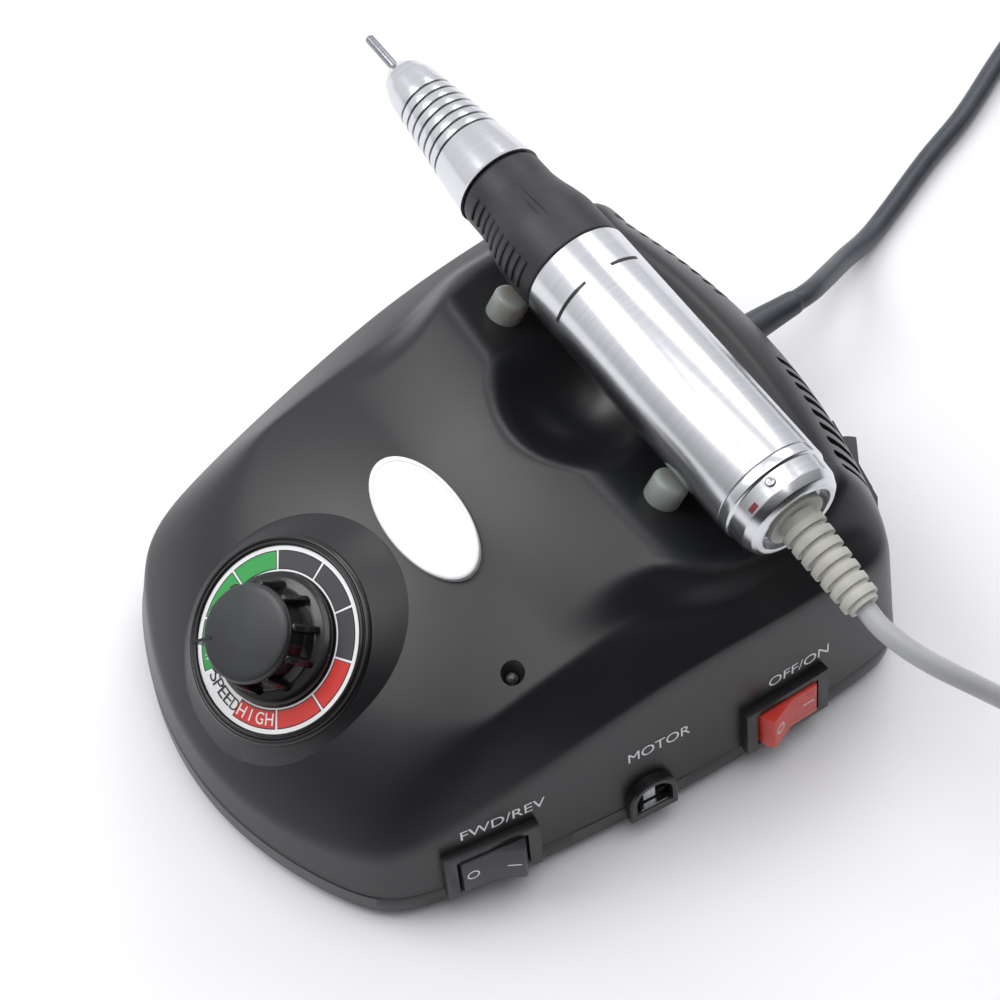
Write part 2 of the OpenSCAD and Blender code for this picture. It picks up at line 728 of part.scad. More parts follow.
base_tray();
top_shell();
rubber_feet();
case_screws();
transformer_core();
transformer_coil();
transformer_screws();
control_board();
board_screws();
filter_capacitors();
heat_sink();
power_transistor();
speed_pot();
pot_nut();
pot_shaft();
speed_knob();
knob_cap();
dial_plate();
oval_badge();
power_led();
cradle_pads();
fwd_rev_bezel();
fwd_rev_rocker();
power_bezel();
power_rocker();
mode_bezel();
mode_rocker();
motor_jack();
pedal_jack();
mains_gland();
mains_cord();
mains_coil();
mains_plug();
nose_cone();
lock_sleeve();
rear_barrel();
end_cap();
end_cap_screws();
cord_boot();
motor_can();
brush_cap();
front_bearing();
rear_bearing();
chuck_spring();
spindle();
collet();
rotor();
nail_bit();
handpiece_cord();
handpiece_coil();
motor_plug();
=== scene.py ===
import math
import bpy
import bmesh
import numpy as np
from mathutils import Matrix, Vector


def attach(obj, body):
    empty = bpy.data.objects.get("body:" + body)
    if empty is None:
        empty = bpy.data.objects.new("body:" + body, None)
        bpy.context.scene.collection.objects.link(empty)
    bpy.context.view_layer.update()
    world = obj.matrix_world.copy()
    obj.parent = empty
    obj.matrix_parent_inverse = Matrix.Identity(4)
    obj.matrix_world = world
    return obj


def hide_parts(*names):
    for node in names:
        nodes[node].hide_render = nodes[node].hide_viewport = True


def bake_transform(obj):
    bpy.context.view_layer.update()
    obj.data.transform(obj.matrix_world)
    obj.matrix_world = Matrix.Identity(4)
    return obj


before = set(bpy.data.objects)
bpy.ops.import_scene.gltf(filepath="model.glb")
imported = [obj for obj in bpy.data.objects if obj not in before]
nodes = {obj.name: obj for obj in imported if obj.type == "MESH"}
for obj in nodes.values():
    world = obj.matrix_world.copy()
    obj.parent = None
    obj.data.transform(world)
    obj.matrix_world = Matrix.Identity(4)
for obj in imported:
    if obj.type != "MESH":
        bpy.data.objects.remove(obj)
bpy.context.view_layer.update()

# ---- Camera, table and light ---------------------------------------------------------------------
# The machine stands on a plain white table under broad soft boxes. The camera
# looks down on it steeply from the front right.

def linear(hex_colour):
    """sRGB hex to the linear colour that the shaders take."""
    parts = [int(hex_colour[i:i + 2], 16) / 255 for i in (1, 3, 5)]
    return tuple(c / 12.92 if c <= 0.04045 else ((c + 0.055) / 1.055) ** 2.4 for c in parts) + (1,)


def add_node(tree, kind, links=None, **settings):
    """Adds a node; links gives each named input a value or another node's output."""
    node = tree.nodes.new(kind)
    for key, value in settings.items():
        setattr(node, key, value)
    for socket, value in (links or {}).items():
        if isinstance(value, bpy.types.NodeSocket):
            tree.links.new(value, node.inputs[socket])
        else:
            node.inputs[socket].default_value = value
    return node


def new_material(name):
    """An empty node material: its tree and its shader, already joined to the output."""
    material = bpy.data.materials.new(name)
    material.use_nodes = True
    tree = material.node_tree
    tree.nodes.clear()
    shader = add_node(tree, "ShaderNodeBsdfPrincipled")
    add_node(tree, "ShaderNodeOutputMaterial", {"Surface": shader.outputs[0]})
    return material, tree, shader


def in_scene(name, data):
    """A new object with this data, linked to the scene."""
    thing = bpy.data.objects.new(name, data)
    bpy.context.scene.collection.objects.link(thing)
    return thing


camera_azimuth = math.radians(54.784)
camera_elevation = math.radians(59)
camera_place = Vector((0.24666, -0.17279, 0.55254))
camera_lens = 93.6

level = math.cos(camera_elevation)
back = Vector((math.sin(camera_azimuth) * level, -math.cos(camera_azimuth) * level,
               math.sin(camera_elevation)))
right = Vector((math.cos(camera_azimuth), math.sin(camera_azimuth), 0))
camera_data = bpy.data.cameras.new("camera")
camera_data.lens = camera_lens
camera_data.sensor_width = 36
camera_data.clip_start = 0.01
camera_data.clip_end = 20
camera = in_scene("camera", camera_data)
turned_to = Matrix((right, back.cross(right), back)).transposed().to_4x4()
camera.matrix_world = Matrix.Translation(camera_place) @ turned_to
bpy.context.scene.camera = camera
bpy.context.scene.view_settings.view_transform = "Standard"

table_half = 2.5
table_mesh = bpy.data.meshes.new("table")
table_mesh.from_pydata([(sx * table_half, sy * table_half, 0)
                        for sx, sy in ((-1, -1), (1, -1), (1, 1), (-1, 1))], [], [(0, 1, 2, 3)])
table = in_scene("table", table_mesh)
table_paint, tree, shader = new_material("white_table_laminate")
shader.inputs["Base Color"].default_value = linear("#f6f6f8")
shader.inputs["Roughness"].default_value = 0.75
table_mesh.materials.append(table_paint)

world = bpy.data.worlds.new("studio")
bpy.context.scene.world = world
world.use_nodes = True
# a bright studio wall on the left and overhead, a dark room on the right
sky = world.node_tree
way = add_node(sky, "ShaderNodeTexCoord").outputs["Generated"]
to_wall = add_node(sky, "ShaderNodeVectorMath", {0: way, 1: (-0.83, 0.12, 0.55)}, operation="DOT_PRODUCT")
wall_light = add_node(sky, "ShaderNodeMapRange", {"Value": to_wall.outputs["Value"], "From Min": -0.25,
                                                  "From Max": 0.55, "To Min": 0.03, "To Max": 0.88})
sky.links.new(wall_light.outputs[0], sky.nodes["Background"].inputs["Strength"])
sky.nodes["Background"].inputs["Color"].default_value = linear("#fbfbff")

# name, place, aimed at, width, height, watts
soft_boxes = [
    ("key_box", (-0.6, -0.55, 1.1), (0, 0, 0.03), 0.7, 0.6, 6.2),
    ("back_box", (-0.5, 0.7, 0.8), (0, 0, 0.03), 0.6, 0.4, 2.0),
    ("top_box", (0.1, 0.1, 1.35), (0, 0, 0), 1.0, 0.9, 5.2),
]
for name, place, aim, width, height, watts in soft_boxes:
    light_data = bpy.data.lights.new(name, "AREA")
    light_data.shape = "RECTANGLE"
    light_data.size, light_data.size_y = width, height
    light_data.energy = watts
    light = in_scene(name, light_data)
    light.location = place
    light.rotation_euler = (Vector(place) - Vector(aim)).to_track_quat("Z", "Y").to_euler()

# ---- Mains cord ----------------------------------------------------------------------------------
# A 5.5 mm round lead with a soft PVC jacket. It leaves the back through a
# tapered moulded relief, drops to the table and ends in a wall plug.

MM = 0.001


def smooth_line(points, steps):
    """Catmull-Rom curve through the points, as a dense list of points."""
    p = [np.array(q, float) for q in points]
    p = [2 * p[0] - p[1]] + p + [2 * p[-1] - p[-2]]
    line = []
    for i in range(1, len(p) - 2):
        a, b, c, d = p[i - 1:i + 3]
        for k in range(steps):
            f = k / steps
            line.append(0.5 * (2 * b + (c - a) * f + (2 * a - 5 * b + 4 * c - d) * f * f
                               + (3 * b - a - 3 * c + d) * f ** 3))
    return line + [p[-2]]


def coil_points(centre, start_deg, cells, turns, per_turn=16):
    """Clockwise turns that step from one (radius, height) cell to the next near each turn's end."""
    points = []
    for k in range(1, int(turns * per_turn) + 1):
        t = k / per_turn
        i = min(int(t), len(cells) - 1)
        f = min(max((t - i - 0.6) / 0.4, 0), 1)
        blend = f * f * (3 - 2 * f) if i + 1 < len(cells) else 0
        here, after = cells[i], cells[min(i + 1, len(cells) - 1)]
        radius = here[0] + (after[0] - here[0]) * blend
        height = here[1] + (after[1] - here[1]) * blend
        a = math.radians(start_deg) - 2 * math.pi * t
        points.append((centre[0] + radius * math.cos(a), centre[1] + radius * math.sin(a), height))
    return points


cord_steps = 6


def cord_piece(name, points, diameter, material):
    """A round cord on a smooth line through the points, as one open spline."""
    line = smooth_line(points, cord_steps)
    curve = bpy.data.curves.new(name, "CURVE")
    curve.dimensions = "3D"
    curve.bevel_depth = diameter / 2 * MM
    curve.bevel_resolution = 6
    curve.use_fill_caps = True
    spline = curve.splines.new("POLY")
    spline.points.add(len(line) - 1)
    for point, place in zip(spline.points, line):
        point.co = (*(place * MM), 1)
    spline.use_smooth = True
    curve.materials.append(material)
    return in_scene(name, curve)


# PVC jacket, extruded: satin, slightly wavy gloss along its length, a little dusty
dark_jacket, tree, shader = new_material("extruded_pvc_charcoal")
place = add_node(tree, "ShaderNodeTexCoord").outputs["Object"]
cloud = add_node(tree, "ShaderNodeTexNoise", {"Vector": place, "Scale": 90.0, "Detail": 5.0})
tint = add_node(tree, "ShaderNodeValToRGB", {"Fac": cloud.outputs["Fac"]})
tint.color_ramp.elements[0].color = linear("#31363b")
tint.color_ramp.elements[1].color = linear("#434a50")
tint.color_ramp.elements[0].position, tint.color_ramp.elements[1].position = 0.35, 0.7
sheen = add_node(tree, "ShaderNodeMapRange",
                 {"Value": cloud.outputs["Fac"], "To Min": 0.34, "To Max": 0.5})
skin = add_node(tree, "ShaderNodeTexNoise", {"Vector": place, "Scale": 900.0, "Detail": 3.0})
bump = add_node(tree, "ShaderNodeBump",
                {"Height": skin.outputs["Fac"], "Strength": 0.12, "Distance": 0.0002})
tree.links.new(tint.outputs[0], shader.inputs["Base Color"])
tree.links.new(sheen.outputs[0], shader.inputs["Roughness"])
tree.links.new(bump.outputs[0], shader.inputs["Normal"])

mains_diameter = 5.5
mains_coil_centre = (-51, 265)
mains_start = [(-17, 98, 25), (-17, 103, 25), (-18, 109, 23.5), (-22, 118, 18), (-28, 130, 9.5),
               (-32.5, 142, 3.9), (-37, 154, 2.85), (-44, 172, 2.85), (-50, 190, 2.85),
               (-58, 208, 2.85), (-68, 230, 2.85)]
mains_cells = [(33.75, 2.85), (28.25, 2.85), (28.25, 8.3), (33.75, 8.3), (33.75, 13.8), (28.25, 13.8)]
mains_turns = coil_points(mains_coil_centre, 222, mains_cells, 6.25)
mains_end = [(-60, 297.5, 19.2), (-46, 301.5, 18.3), (-33, 305.8, 15.2), (-21, 312, 11.2), (-12.8, 321, 8.3),
             (-10, 330, 7.1), (-10, 338, 7)]
mains = cord_piece("mains_lead", mains_start + mains_turns + mains_end, mains_diameter, dark_jacket)

# ---- Handpiece cord ------------------------------------------------------------------------------
# A limp light-grey lead, 4.6 mm thick, from the handpiece's boot. It falls over
# the shell's back corner, lies on the table and ends in a small barrel plug.

# soft PVC over tinsel wire: matte, pale grey, with faint longitudinal marks
grey_jacket, tree, shader = new_material("soft_pvc_grey")
place = add_node(tree, "ShaderNodeTexCoord").outputs["Object"]
cloud = add_node(tree, "ShaderNodeTexNoise", {"Vector": place, "Scale": 120.0, "Detail": 4.0})
tint = add_node(tree, "ShaderNodeValToRGB", {"Fac": cloud.outputs["Fac"]})
tint.color_ramp.elements[0].color = linear("#a3a4a6")
tint.color_ramp.elements[1].color = linear("#b7b8b9")
tree.links.new(tint.outputs[0], shader.inputs["Base Color"])
bump = add_node(tree, "ShaderNodeBump",
                {"Height": cloud.outputs["Fac"], "Strength": 0.1, "Distance": 0.0003})
tree.links.new(bump.outputs[0], shader.inputs["Normal"])
shader.inputs["Roughness"].default_value = 0.42
shader.inputs["Subsurface Weight"].default_value = 0.06
shader.inputs["Subsurface Radius"].default_value = (0.002, 0.002, 0.002)

hand_diameter = 4.6
hand_coil_centre = (151, 140)
hand_start = [(74, 40, 75.2), (78, 40, 74.6), (84, 40.4, 73.6), (93, 44, 71), (103, 52, 65),
              (112, 64, 52), (118, 78, 33), (121.5, 92, 14.5), (123, 105, 4.2), (123.5, 118, 2.4),
              (123.8, 130, 2.4)]
hand_cells = [(26.6, 2.4), (22, 2.4), (24.3, 6.4), (28.9, 6.4), (26.6, 10.4), (22, 10.4)]
hand_turns = coil_points(hand_coil_centre, 180, hand_cells, 6.19)
hand_end = [(149, 166.8, 15), (157.5, 170.5, 10.5), (165.5, 172.3, 4.6), (171.5, 176.8, 3),
            (175.5, 183.5, 4), (177, 189, 4.5), (177, 194, 4.5)]
hand_route = hand_start + hand_turns + hand_end
hand_curve = cord_piece("handpiece_lead_line", hand_route, hand_diameter, grey_jacket)
lead_mesh = bpy.data.meshes.new_from_object(
    hand_curve.evaluated_get(bpy.context.evaluated_depsgraph_get()))
bpy.data.objects.remove(hand_curve)
hand_lead = in_scene("handpiece_lead", lead_mesh)

# ---- Plugs and the mains relief ------------------------------------------------------------------
# Moulded PVC over the contacts: a two-pin wall plug, a small barrel plug for the
# motor socket, and the tapered relief that is clamped in the shell's back wall.

def softened(node, name, edge, material, segments=3):
    """The node's solid with rounded edges, as a new piece to stand for the node."""
    mesh = nodes[node].data.copy()
    mesh.name = name
    bm = bmesh.new()
    bm.from_mesh(mesh)
    bmesh.ops.remove_doubles(bm, verts=bm.verts, dist=1e-6)
    bmesh.ops.dissolve_limit(bm, angle_limit=math.radians(1.5), verts=bm.verts, edges=bm.edges)
    bm.to_mesh(mesh)
    bm.free()
    mesh.materials.clear()
    mesh.materials.append(material)
    piece = in_scene(name, mesh)
    rounding = piece.modifiers.new("rounding", "BEVEL")
    rounding.width = edge * MM
    rounding.segments = segments
    rounding.limit_method = "ANGLE"
    rounding.angle_limit = math.radians(32)
    rounding.use_clamp_overlap = True
    return baked(piece)


def baked(piece, sharp_deg=35):
    """Turns the piece's modifiers into its plain mesh, with smooth faces and sharp edges."""
    mesh = bpy.data.meshes.new_from_object(
        piece.evaluated_get(bpy.context.evaluated_depsgraph_get()))
    piece.modifiers.clear()
    mesh.name = piece.name
    piece.data = mesh
    mesh.shade_smooth()
    mesh.set_sharp_from_angle(angle=math.radians(sharp_deg))
    return piece


def turned(name, profile, place, material, edge=0.3, segments=128, sharp_deg=35):
    """Turns a (radius, height) outline round local Z, with its corners eased by edge."""
    closed = profile[0] == profile[-1]
    corners = [np.array(q, float) for q in (profile[:-1] if closed else profile)]
    outline = []
    n = len(corners)
    for i, corner in enumerate(corners):
        if not closed and i in (0, n - 1):
            outline.append(corner)
            continue
        before, after = corners[i - 1] - corner, corners[(i + 1) % n] - corner
        cut = min(edge, 0.45 * np.linalg.norm(before), 0.45 * np.linalg.norm(after))
        p0 = corner + before / np.linalg.norm(before) * cut
        p2 = corner + after / np.linalg.norm(after) * cut
        for f in (0, 0.33, 0.67, 1):
            outline.append((1 - f) ** 2 * p0 + 2 * f * (1 - f) * corner + f * f * p2)
    verts, rings = [], []
    for radius, height in outline:
        if radius < 1e-6:
            rings.append([len(verts)] * segments)
            verts.append((0, 0, height))
        else:
            rings.append(list(range(len(verts), len(verts) + segments)))
            verts += [(radius * math.cos(2 * math.pi * k / segments),
                       radius * math.sin(2 * math.pi * k / segments), height)
                      for k in range(segments)]
    pairs = list(zip(rings, rings[1:])) + ([(rings[-1], rings[0])] if closed else [])
    faces = []
    for low, high in pairs:
        for k in range(segments):
            q = [low[k], low[(k + 1) % segments], high[(k + 1) % segments], high[k]]
            face = [v for j, v in enumerate(q) if v not in q[:j]]
            if len(face) > 2:
                faces.append(face)
    piece = solid(name, verts, faces, place, material)
    piece.data.shade_smooth()
    piece.data.set_sharp_from_angle(angle=math.radians(sharp_deg))
    return piece


def solid(name, verts, faces, place, material):
    """A closed mesh given in millimetres of its own place, with its faces turned outwards."""
    mesh = bpy.data.meshes.new(name)
    mesh.from_pydata([tuple(v) for v in verts], [], faces)
    mesh.transform(Matrix.Scale(MM, 4) @ place)
    bm = bmesh.new()
    bm.from_mesh(mesh)
    bmesh.ops.recalc_face_normals(bm, faces=bm.faces)
    bm.to_mesh(mesh)
    bm.free()
    mesh.materials.append(material)
    return in_scene(name, mesh)


# moulded PVC, spark-eroded mould: near black, even, low gloss
plug_pvc, tree, shader = new_material("moulded_pvc_black")
place = add_node(tree, "ShaderNodeTexCoord").outputs["Object"]
grain = add_node(tree, "ShaderNodeTexNoise", {"Vector": place, "Scale": 1600.0, "Detail": 3.0})
bump = add_node(tree, "ShaderNodeBump",
                {"Height": grain.outputs["Fac"], "Strength": 0.2, "Distance": 0.0002})
tree.links.new(bump.outputs[0], shader.inputs["Normal"])
shader.inputs["Base Color"].default_value = linear("#2a2c2f")
shader.inputs["Roughness"].default_value = 0.48

mains_plug = softened("mains_plug", "wall_plug", 1.2, plug_pvc)
barrel_plug = softened("motor_plug", "barrel_plug", 0.4, plug_pvc)
relief_profile = [(0, 0), (6, 0), (6, 1.8), (3.95, 2.6), (3.75, 8), (3.35, 14), (3.1, 18.5), (2.76, 19.6),
                  (0, 19.6)]
gland_y = 84.0
relief = turned("mains_relief", relief_profile,
                Matrix.Translation((-17, gland_y, 25)) @ Matrix.Rotation(math.radians(-90), 4, "X"),
                dark_jacket, edge=0.5, segments=64)
for piece, node, slot in ((mains_plug, "mains_plug", "dark_pvc"), (barrel_plug, "motor_plug", "black_gloss"),
                          (relief, "mains_gland", "dark_pvc")):
    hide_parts(node)
    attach(piece, "housing")
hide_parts("mains_cord", "mains_coil")
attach(mains, "housing")
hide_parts("handpiece_cord", "handpiece_coil")
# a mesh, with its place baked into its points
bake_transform(hand_lead)

# ---- Base tray -----------------------------------------------------------------------------------
# Injection-moulded ABS tray, open at the top. Four screws come up through it into
# the shell's posts, and the board and the transformer stand in it.

half_w, front_y, back_y, seam_z = 67.0, 84.0, 86.0, 11.0
side_bow, widest_y, bow_length, front_sag, back_sag = 13.0, 47.0, 110.0, 156.0, 284.0
corner_power = 19
foot_h = 3.0
screw_spots = [(50, 48), (-50, 48), (40, -48), (-40, -48)]


def half_width(y):
    """Half the width of the outline at a depth y, widest near the back."""
    return half_w - side_bow * ((widest_y - y) / bow_length) ** 2


def reach(a):
    """Distance of the outline from the middle, in each direction a."""
    r = np.full_like(a, 70.0)
    for _ in range(7):
        x, y = r * np.cos(a), r * np.sin(a)
        end = np.where(y < 0, front_y - x * x / front_sag, back_y - x * x / back_sag)
        gauge = (np.abs(x) / half_width(y)) ** corner_power + (np.abs(y) / end) ** corner_power
        r = r / gauge ** (1 / corner_power)
    return r


def skin_of_rows(name, rows, place, material, cap_first=False, cap_last=False):
    """Joins rows of points, each a closed loop of the same count, into one skin."""
    count = len(rows[0])
    verts = [tuple(p) for row in rows for p in row]
    faces = [(j * count + i, j * count + (i + 1) % count,
              (j + 1) * count + (i + 1) % count, (j + 1) * count + i)
             for j in range(len(rows) - 1) for i in range(count)]
    if cap_first:
        faces.append(tuple(range(count)))
    if cap_last:
        faces.append(tuple(range((len(rows) - 1) * count, len(rows) * count)))
    return solid(name, verts, faces, place, material)


def cut_away(piece, cutter, sharp_deg=35):
    """Cuts the cutter's solids out of the piece, and drops the cutter."""
    cut = piece.modifiers.new("cut", "BOOLEAN")
    cut.operation = "DIFFERENCE"
    cut.solver = "MANIFOLD"
    cut.object = cutter
    baked(piece, sharp_deg)
    bpy.data.objects.remove(cutter)


def joined(name, pieces):
    """One mesh of all these pieces, which are dropped."""
    bm = bmesh.new()
    for piece in pieces:
        bm.from_mesh(piece.data)
    mesh = bpy.data.meshes.new(name)
    bm.to_mesh(mesh)
    bm.free()
    mesh.materials.append(pieces[0].data.materials[0])
    for piece in pieces:
        bpy.data.objects.remove(piece)
    return in_scene(name, mesh)


def satin_abs(name, colour, dust):
    """ABS from a finely spark-eroded mould: satin, with a 0.4 mm grain and loose dust specks."""
    material, tree, shader = new_material(name)
    place = add_node(tree, "ShaderNodeTexCoord").outputs["Object"]
    grain = add_node(tree, "ShaderNodeTexNoise", {"Vector": place, "Scale": 2400.0, "Detail": 2.0})
    handled = add_node(tree, "ShaderNodeTexNoise", {"Vector": place, "Scale": 26.0, "Detail": 4.0})
    gloss = add_node(tree, "ShaderNodeMapRange",
                     {"Value": handled.outputs["Fac"], "From Min": 0.3, "From Max": 0.7,
                      "To Min": 0.33, "To Max": 0.41})
    specks = add_node(tree, "ShaderNodeTexVoronoi", {"Vector": place, "Scale": 150.0})
    sparse = add_node(tree, "ShaderNodeTexNoise", {"Vector": place, "Scale": 60.0, "Detail": 1.0})
    size = add_node(tree, "ShaderNodeMapRange",
                    {"Value": sparse.outputs["Fac"], "From Min": 0.62, "From Max": 0.72,
                     "To Min": 0.0, "To Max": dust})
    near = add_node(tree, "ShaderNodeMath", {0: specks.outputs["Distance"], 1: size.outputs[0]},
                    operation="LESS_THAN")
    paint = add_node(tree, "ShaderNodeMix", {"Factor": near.outputs[0]}, data_type="RGBA")
    paint.inputs["A"].default_value = linear(colour)
    paint.inputs["B"].default_value = linear("#9a9b9d")
    bump = add_node(tree, "ShaderNodeBump",
                    {"Height": grain.outputs["Fac"], "Strength": 0.1, "Distance": 0.0001})
    tree.links.new(paint.outputs["Result"], shader.inputs["Base Color"])
    tree.links.new(gloss.outputs[0], shader.inputs["Roughness"])
    tree.links.new(bump.outputs[0], shader.inputs["Normal"])
    return material


tray_abs = satin_abs("satin_abs_tray", "#1a1b1d", 0.05)
around = np.linspace(0, 2 * math.pi, 360, endpoint=False)
edge_reach = reach(around)


def outline_row(inset, z):
    """The outline drawn in by inset, as a level row of points."""
    r = edge_reach - inset
    return np.stack([r * np.cos(around), r * np.sin(around), np.full_like(r, z)], axis=1)


tray = skin_of_rows("base_tray_moulding",
                    [outline_row(inset, z) for inset, z in (
                        (1.2, foot_h), (0.35, foot_h + 0.35), (0, foot_h + 1.2), (0, 10.5), (0.25, 10.85),
                        (0.7, 10.98), (2.6, 10.98), (2.6, 5.4))],
                    Matrix.Identity(4), tray_abs, cap_first=True, cap_last=True)
wells = [turned("well", [(0, -1), (3.4, -1), (3.4, foot_h + 3), (1.8, foot_h + 3), (1.8, 8), (0, 8)],
                Matrix.Translation((x, y, 0)), tray_abs, edge=0.01, segments=32) for x, y in screw_spots]
cut_away(tray, joined("wells", wells))
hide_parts("base_tray")
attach(tray, "housing")

# ---- Top shell -----------------------------------------------------------------------------------
# One ABS moulding, 2.4 mm thick: drafted side panels up to a soft crease, a domed
# roof, a saddle with the cradle groove and a finger scoop, and a raised dial boss.

wall = 2.4
roof_z, saddle_top = 66.0, 71.0
groove_r, groove_floor, groove_blend, back_narrow = 36.0, 61.6, 6.0, 1.2
hand_y, hand_z = 40.0, 78.4
dial_y, dial_tilt, dial_rise, boss_r = -58.0, math.radians(34), 0.2, 23.4
scoop_x, scoop_y, scoop_z, scoop_r = -4.0, 27.0, 55.0, 13.5
crease_top, crease_slope, back_fall, roof_bow = 51.5, 0.165, 7.0, 4.7
shoulder_wide, shoulder_narrow = 27.0, 13.0
dome_fall, dome_top_y, dome_reach, dome_power, half_roof = 19.0, 30.0, 88.5, 2.4, 43.0
saddle_from, saddle_to, saddle_fade, flank_front, flank_more, scoop_blend = -14.0, 22.0, 10.0, 37.0, 8.0, 5.0
crease_from_y, crease_round, fall_from, fall_to = 8.0, 14.0, 46.0, 82.0
draft_deg = 9.0
draft_slope = math.tan(math.radians(draft_deg))


def step_up(a, b, t):
    """Rises smoothly from 0 at a to 1 at b."""
    s = np.clip((t - a) / (b - a), 0, 1)
    return s * s * (3 - 2 * s)


def blend_min(a, b, k):
    """The lower of two surfaces, with their meeting rounded over k."""
    return np.minimum(a, b) - (np.maximum(k - np.abs(a - b), 0) / k) ** 2 * k / 4


def crease_z(y):
    """Height of the crease between the side panels and the roof."""
    d = y - crease_from_y
    return (crease_top - crease_slope * (np.sqrt(d ** 2 + crease_round ** 2) - d)
            - back_fall * step_up(fall_from, fall_to, y))


def dome_z(x, y):
    """Height of the roof's plain dome, without its hollows."""
    return (roof_z - dome_fall * (np.abs(dome_top_y - y) / dome_reach) ** dome_power
            - roof_bow * (x / half_roof) ** 2)


def roof(x, y):
    """Height of the roof: the dome, the saddle on it, the groove across it and the finger scoop."""
    flank = flank_front + flank_more * step_up(0, dome_top_y, y)
    on_saddle = step_up(saddle_from, saddle_to, y) * (1 - step_up(flank, flank + saddle_fade, np.abs(x)))
    dome = dome_z(x, y)
    saddle = dome + on_saddle * (saddle_top - 2 * (x / half_roof) ** 2 - dome)
    d = np.maximum(hand_y - y, back_narrow * (y - hand_y))
    groove = (groove_floor + groove_r - np.sqrt(np.maximum(groove_r ** 2 - d * d, 4))
              + 4 * np.maximum(0, d - groove_r))
    scoop = scoop_z + ((x - scoop_x) ** 2 + (y - scoop_y) ** 2) / (2 * scoop_r)
    return blend_min(blend_min(saddle, groove, groove_blend), scoop, scoop_blend)


wall_rows, roof_rows, middle_rows, ease_passes = 13, 130, 30, 3
crease_reach = edge_reach - draft_slope * (crease_z(edge_reach * np.sin(around)) - seam_z)
crease_x, crease_y = crease_reach * np.cos(around), crease_reach * np.sin(around)
crease_drop = roof(crease_x, crease_y) - crease_z(crease_y)
along_side = step_up(-72, -38, crease_y) - step_up(50, 76, crease_y)
shoulder = shoulder_wide + (shoulder_narrow - shoulder_wide) * along_side
grid = [outline_row(0.7, seam_z + 0.02), outline_row(0.2, seam_z + 0.1), outline_row(0, seam_z + 0.5)]
for k in range(1, wall_rows):
    f = k / wall_rows
    r = edge_reach + (crease_reach - edge_reach) * f
    z = seam_z + (crease_z(crease_y) - seam_z) * f
    grid.append(np.stack([r * np.cos(around), r * np.sin(around), z], axis=1))
first_roof_row = len(grid)
for k in range(roof_rows):
    r = crease_reach * (1 - k / roof_rows)
    x, y = r * np.cos(around), r * np.sin(around)
    fall = crease_drop * np.maximum(0, 1 - (crease_reach - r) / shoulder) ** (2.4 - 1.2 * along_side)
    grid.append(np.stack([x, y, roof(x, y) - fall], axis=1))
grid = np.array(grid)
for _ in range(ease_passes):
    eased = grid.copy()
    rows = slice(4, len(grid) - 2)
    eased[rows] = (0.5 * grid[rows] + 0.25 * grid[3:len(grid) - 3] + 0.25 * grid[5:len(grid) - 1])
    grid = eased
    eased = grid.copy()
    rows = slice(first_roof_row, len(grid) - middle_rows)
    eased[rows] = (0.6 * grid[rows] + 0.2 * np.roll(grid[rows], 1, axis=1)
                   + 0.2 * np.roll(grid[rows], -1, axis=1))
    grid = eased

shell_abs = satin_abs("satin_abs_shell", "#1a1b1d", 0.055)
shell = skin_of_rows("top_shell_moulding", list(grid), Matrix.Identity(4), shell_abs, cap_last=True)
thick = shell.modifiers.new("wall", "SOLIDIFY")
thick.thickness = wall * MM
thick.offset = -1
baked(shell)
dial_z = float(dome_z(0, dial_y)) + dial_rise
at_dial = Matrix.Translation((0, dial_y, dial_z)) @ Matrix.Rotation(dial_tilt, 4, "X")
boss_profile = [(9.6, -wall), (boss_r - 1, -wall), (33.5, -12), (36.1, -12), (boss_r, 0), (9.6, 0),
                (9.6, -wall)]
boss = turned("dial_boss", boss_profile, at_dial, shell_abs, edge=0.3)
merge = shell.modifiers.new("boss", "BOOLEAN")
merge.operation = "UNION"
merge.solver = "MANIFOLD"
merge.object = boss
baked(shell, 22)
bpy.data.objects.remove(boss)


def wall_frame(origin, yaw):
    """Place whose X points out of a side wall and whose Z runs up along it."""
    return (Matrix.Translation(origin) @ Matrix.Rotation(yaw, 4, "Z")
            @ Matrix.Rotation(-math.radians(draft_deg), 4, "Y"))


def on_side(y, z):
    """Place on the right side wall."""
    x = half_width(y) - draft_slope * (z - seam_z)
    return wall_frame((x, y, z), -math.atan(2 * side_bow * (widest_y - y) / bow_length ** 2))


def on_back(x, z):
    """Place on the back wall."""
    y = back_y - x * x / back_sag - draft_slope * (z - seam_z)
    return wall_frame((x, y, z), math.pi / 2 - math.atan(2 * x / back_sag))


def block(name, low, high, place, material):
    """A block from its low to its high corner."""
    corners = [(x, y, z) for z in (low[2], high[2]) for y in (low[1], high[1]) for x in (low[0], high[0])]
    faces = [(0, 1, 3, 2), (4, 6, 7, 5), (0, 4, 5, 1), (2, 3, 7, 6), (0, 2, 6, 4), (1, 5, 7, 3)]
    return solid(name, corners, faces, place, material)


# The vents follow the back wall's bow, so a tree sets copies of one slot along that line.
def copies_tree(name, **inputs):
    """A new geometry tree with these named inputs, and the sockets that give them."""
    tree = bpy.data.node_groups.new(name, "GeometryNodeTree")
    for key, kind in inputs.items():
        tree.interface.new_socket(name=key, in_out="INPUT", socket_type="NodeSocket" + kind)
    tree.interface.new_socket(name="Geometry", in_out="OUTPUT", socket_type="NodeSocketGeometry")
    return tree, add_node(tree, "NodeGroupInput").outputs


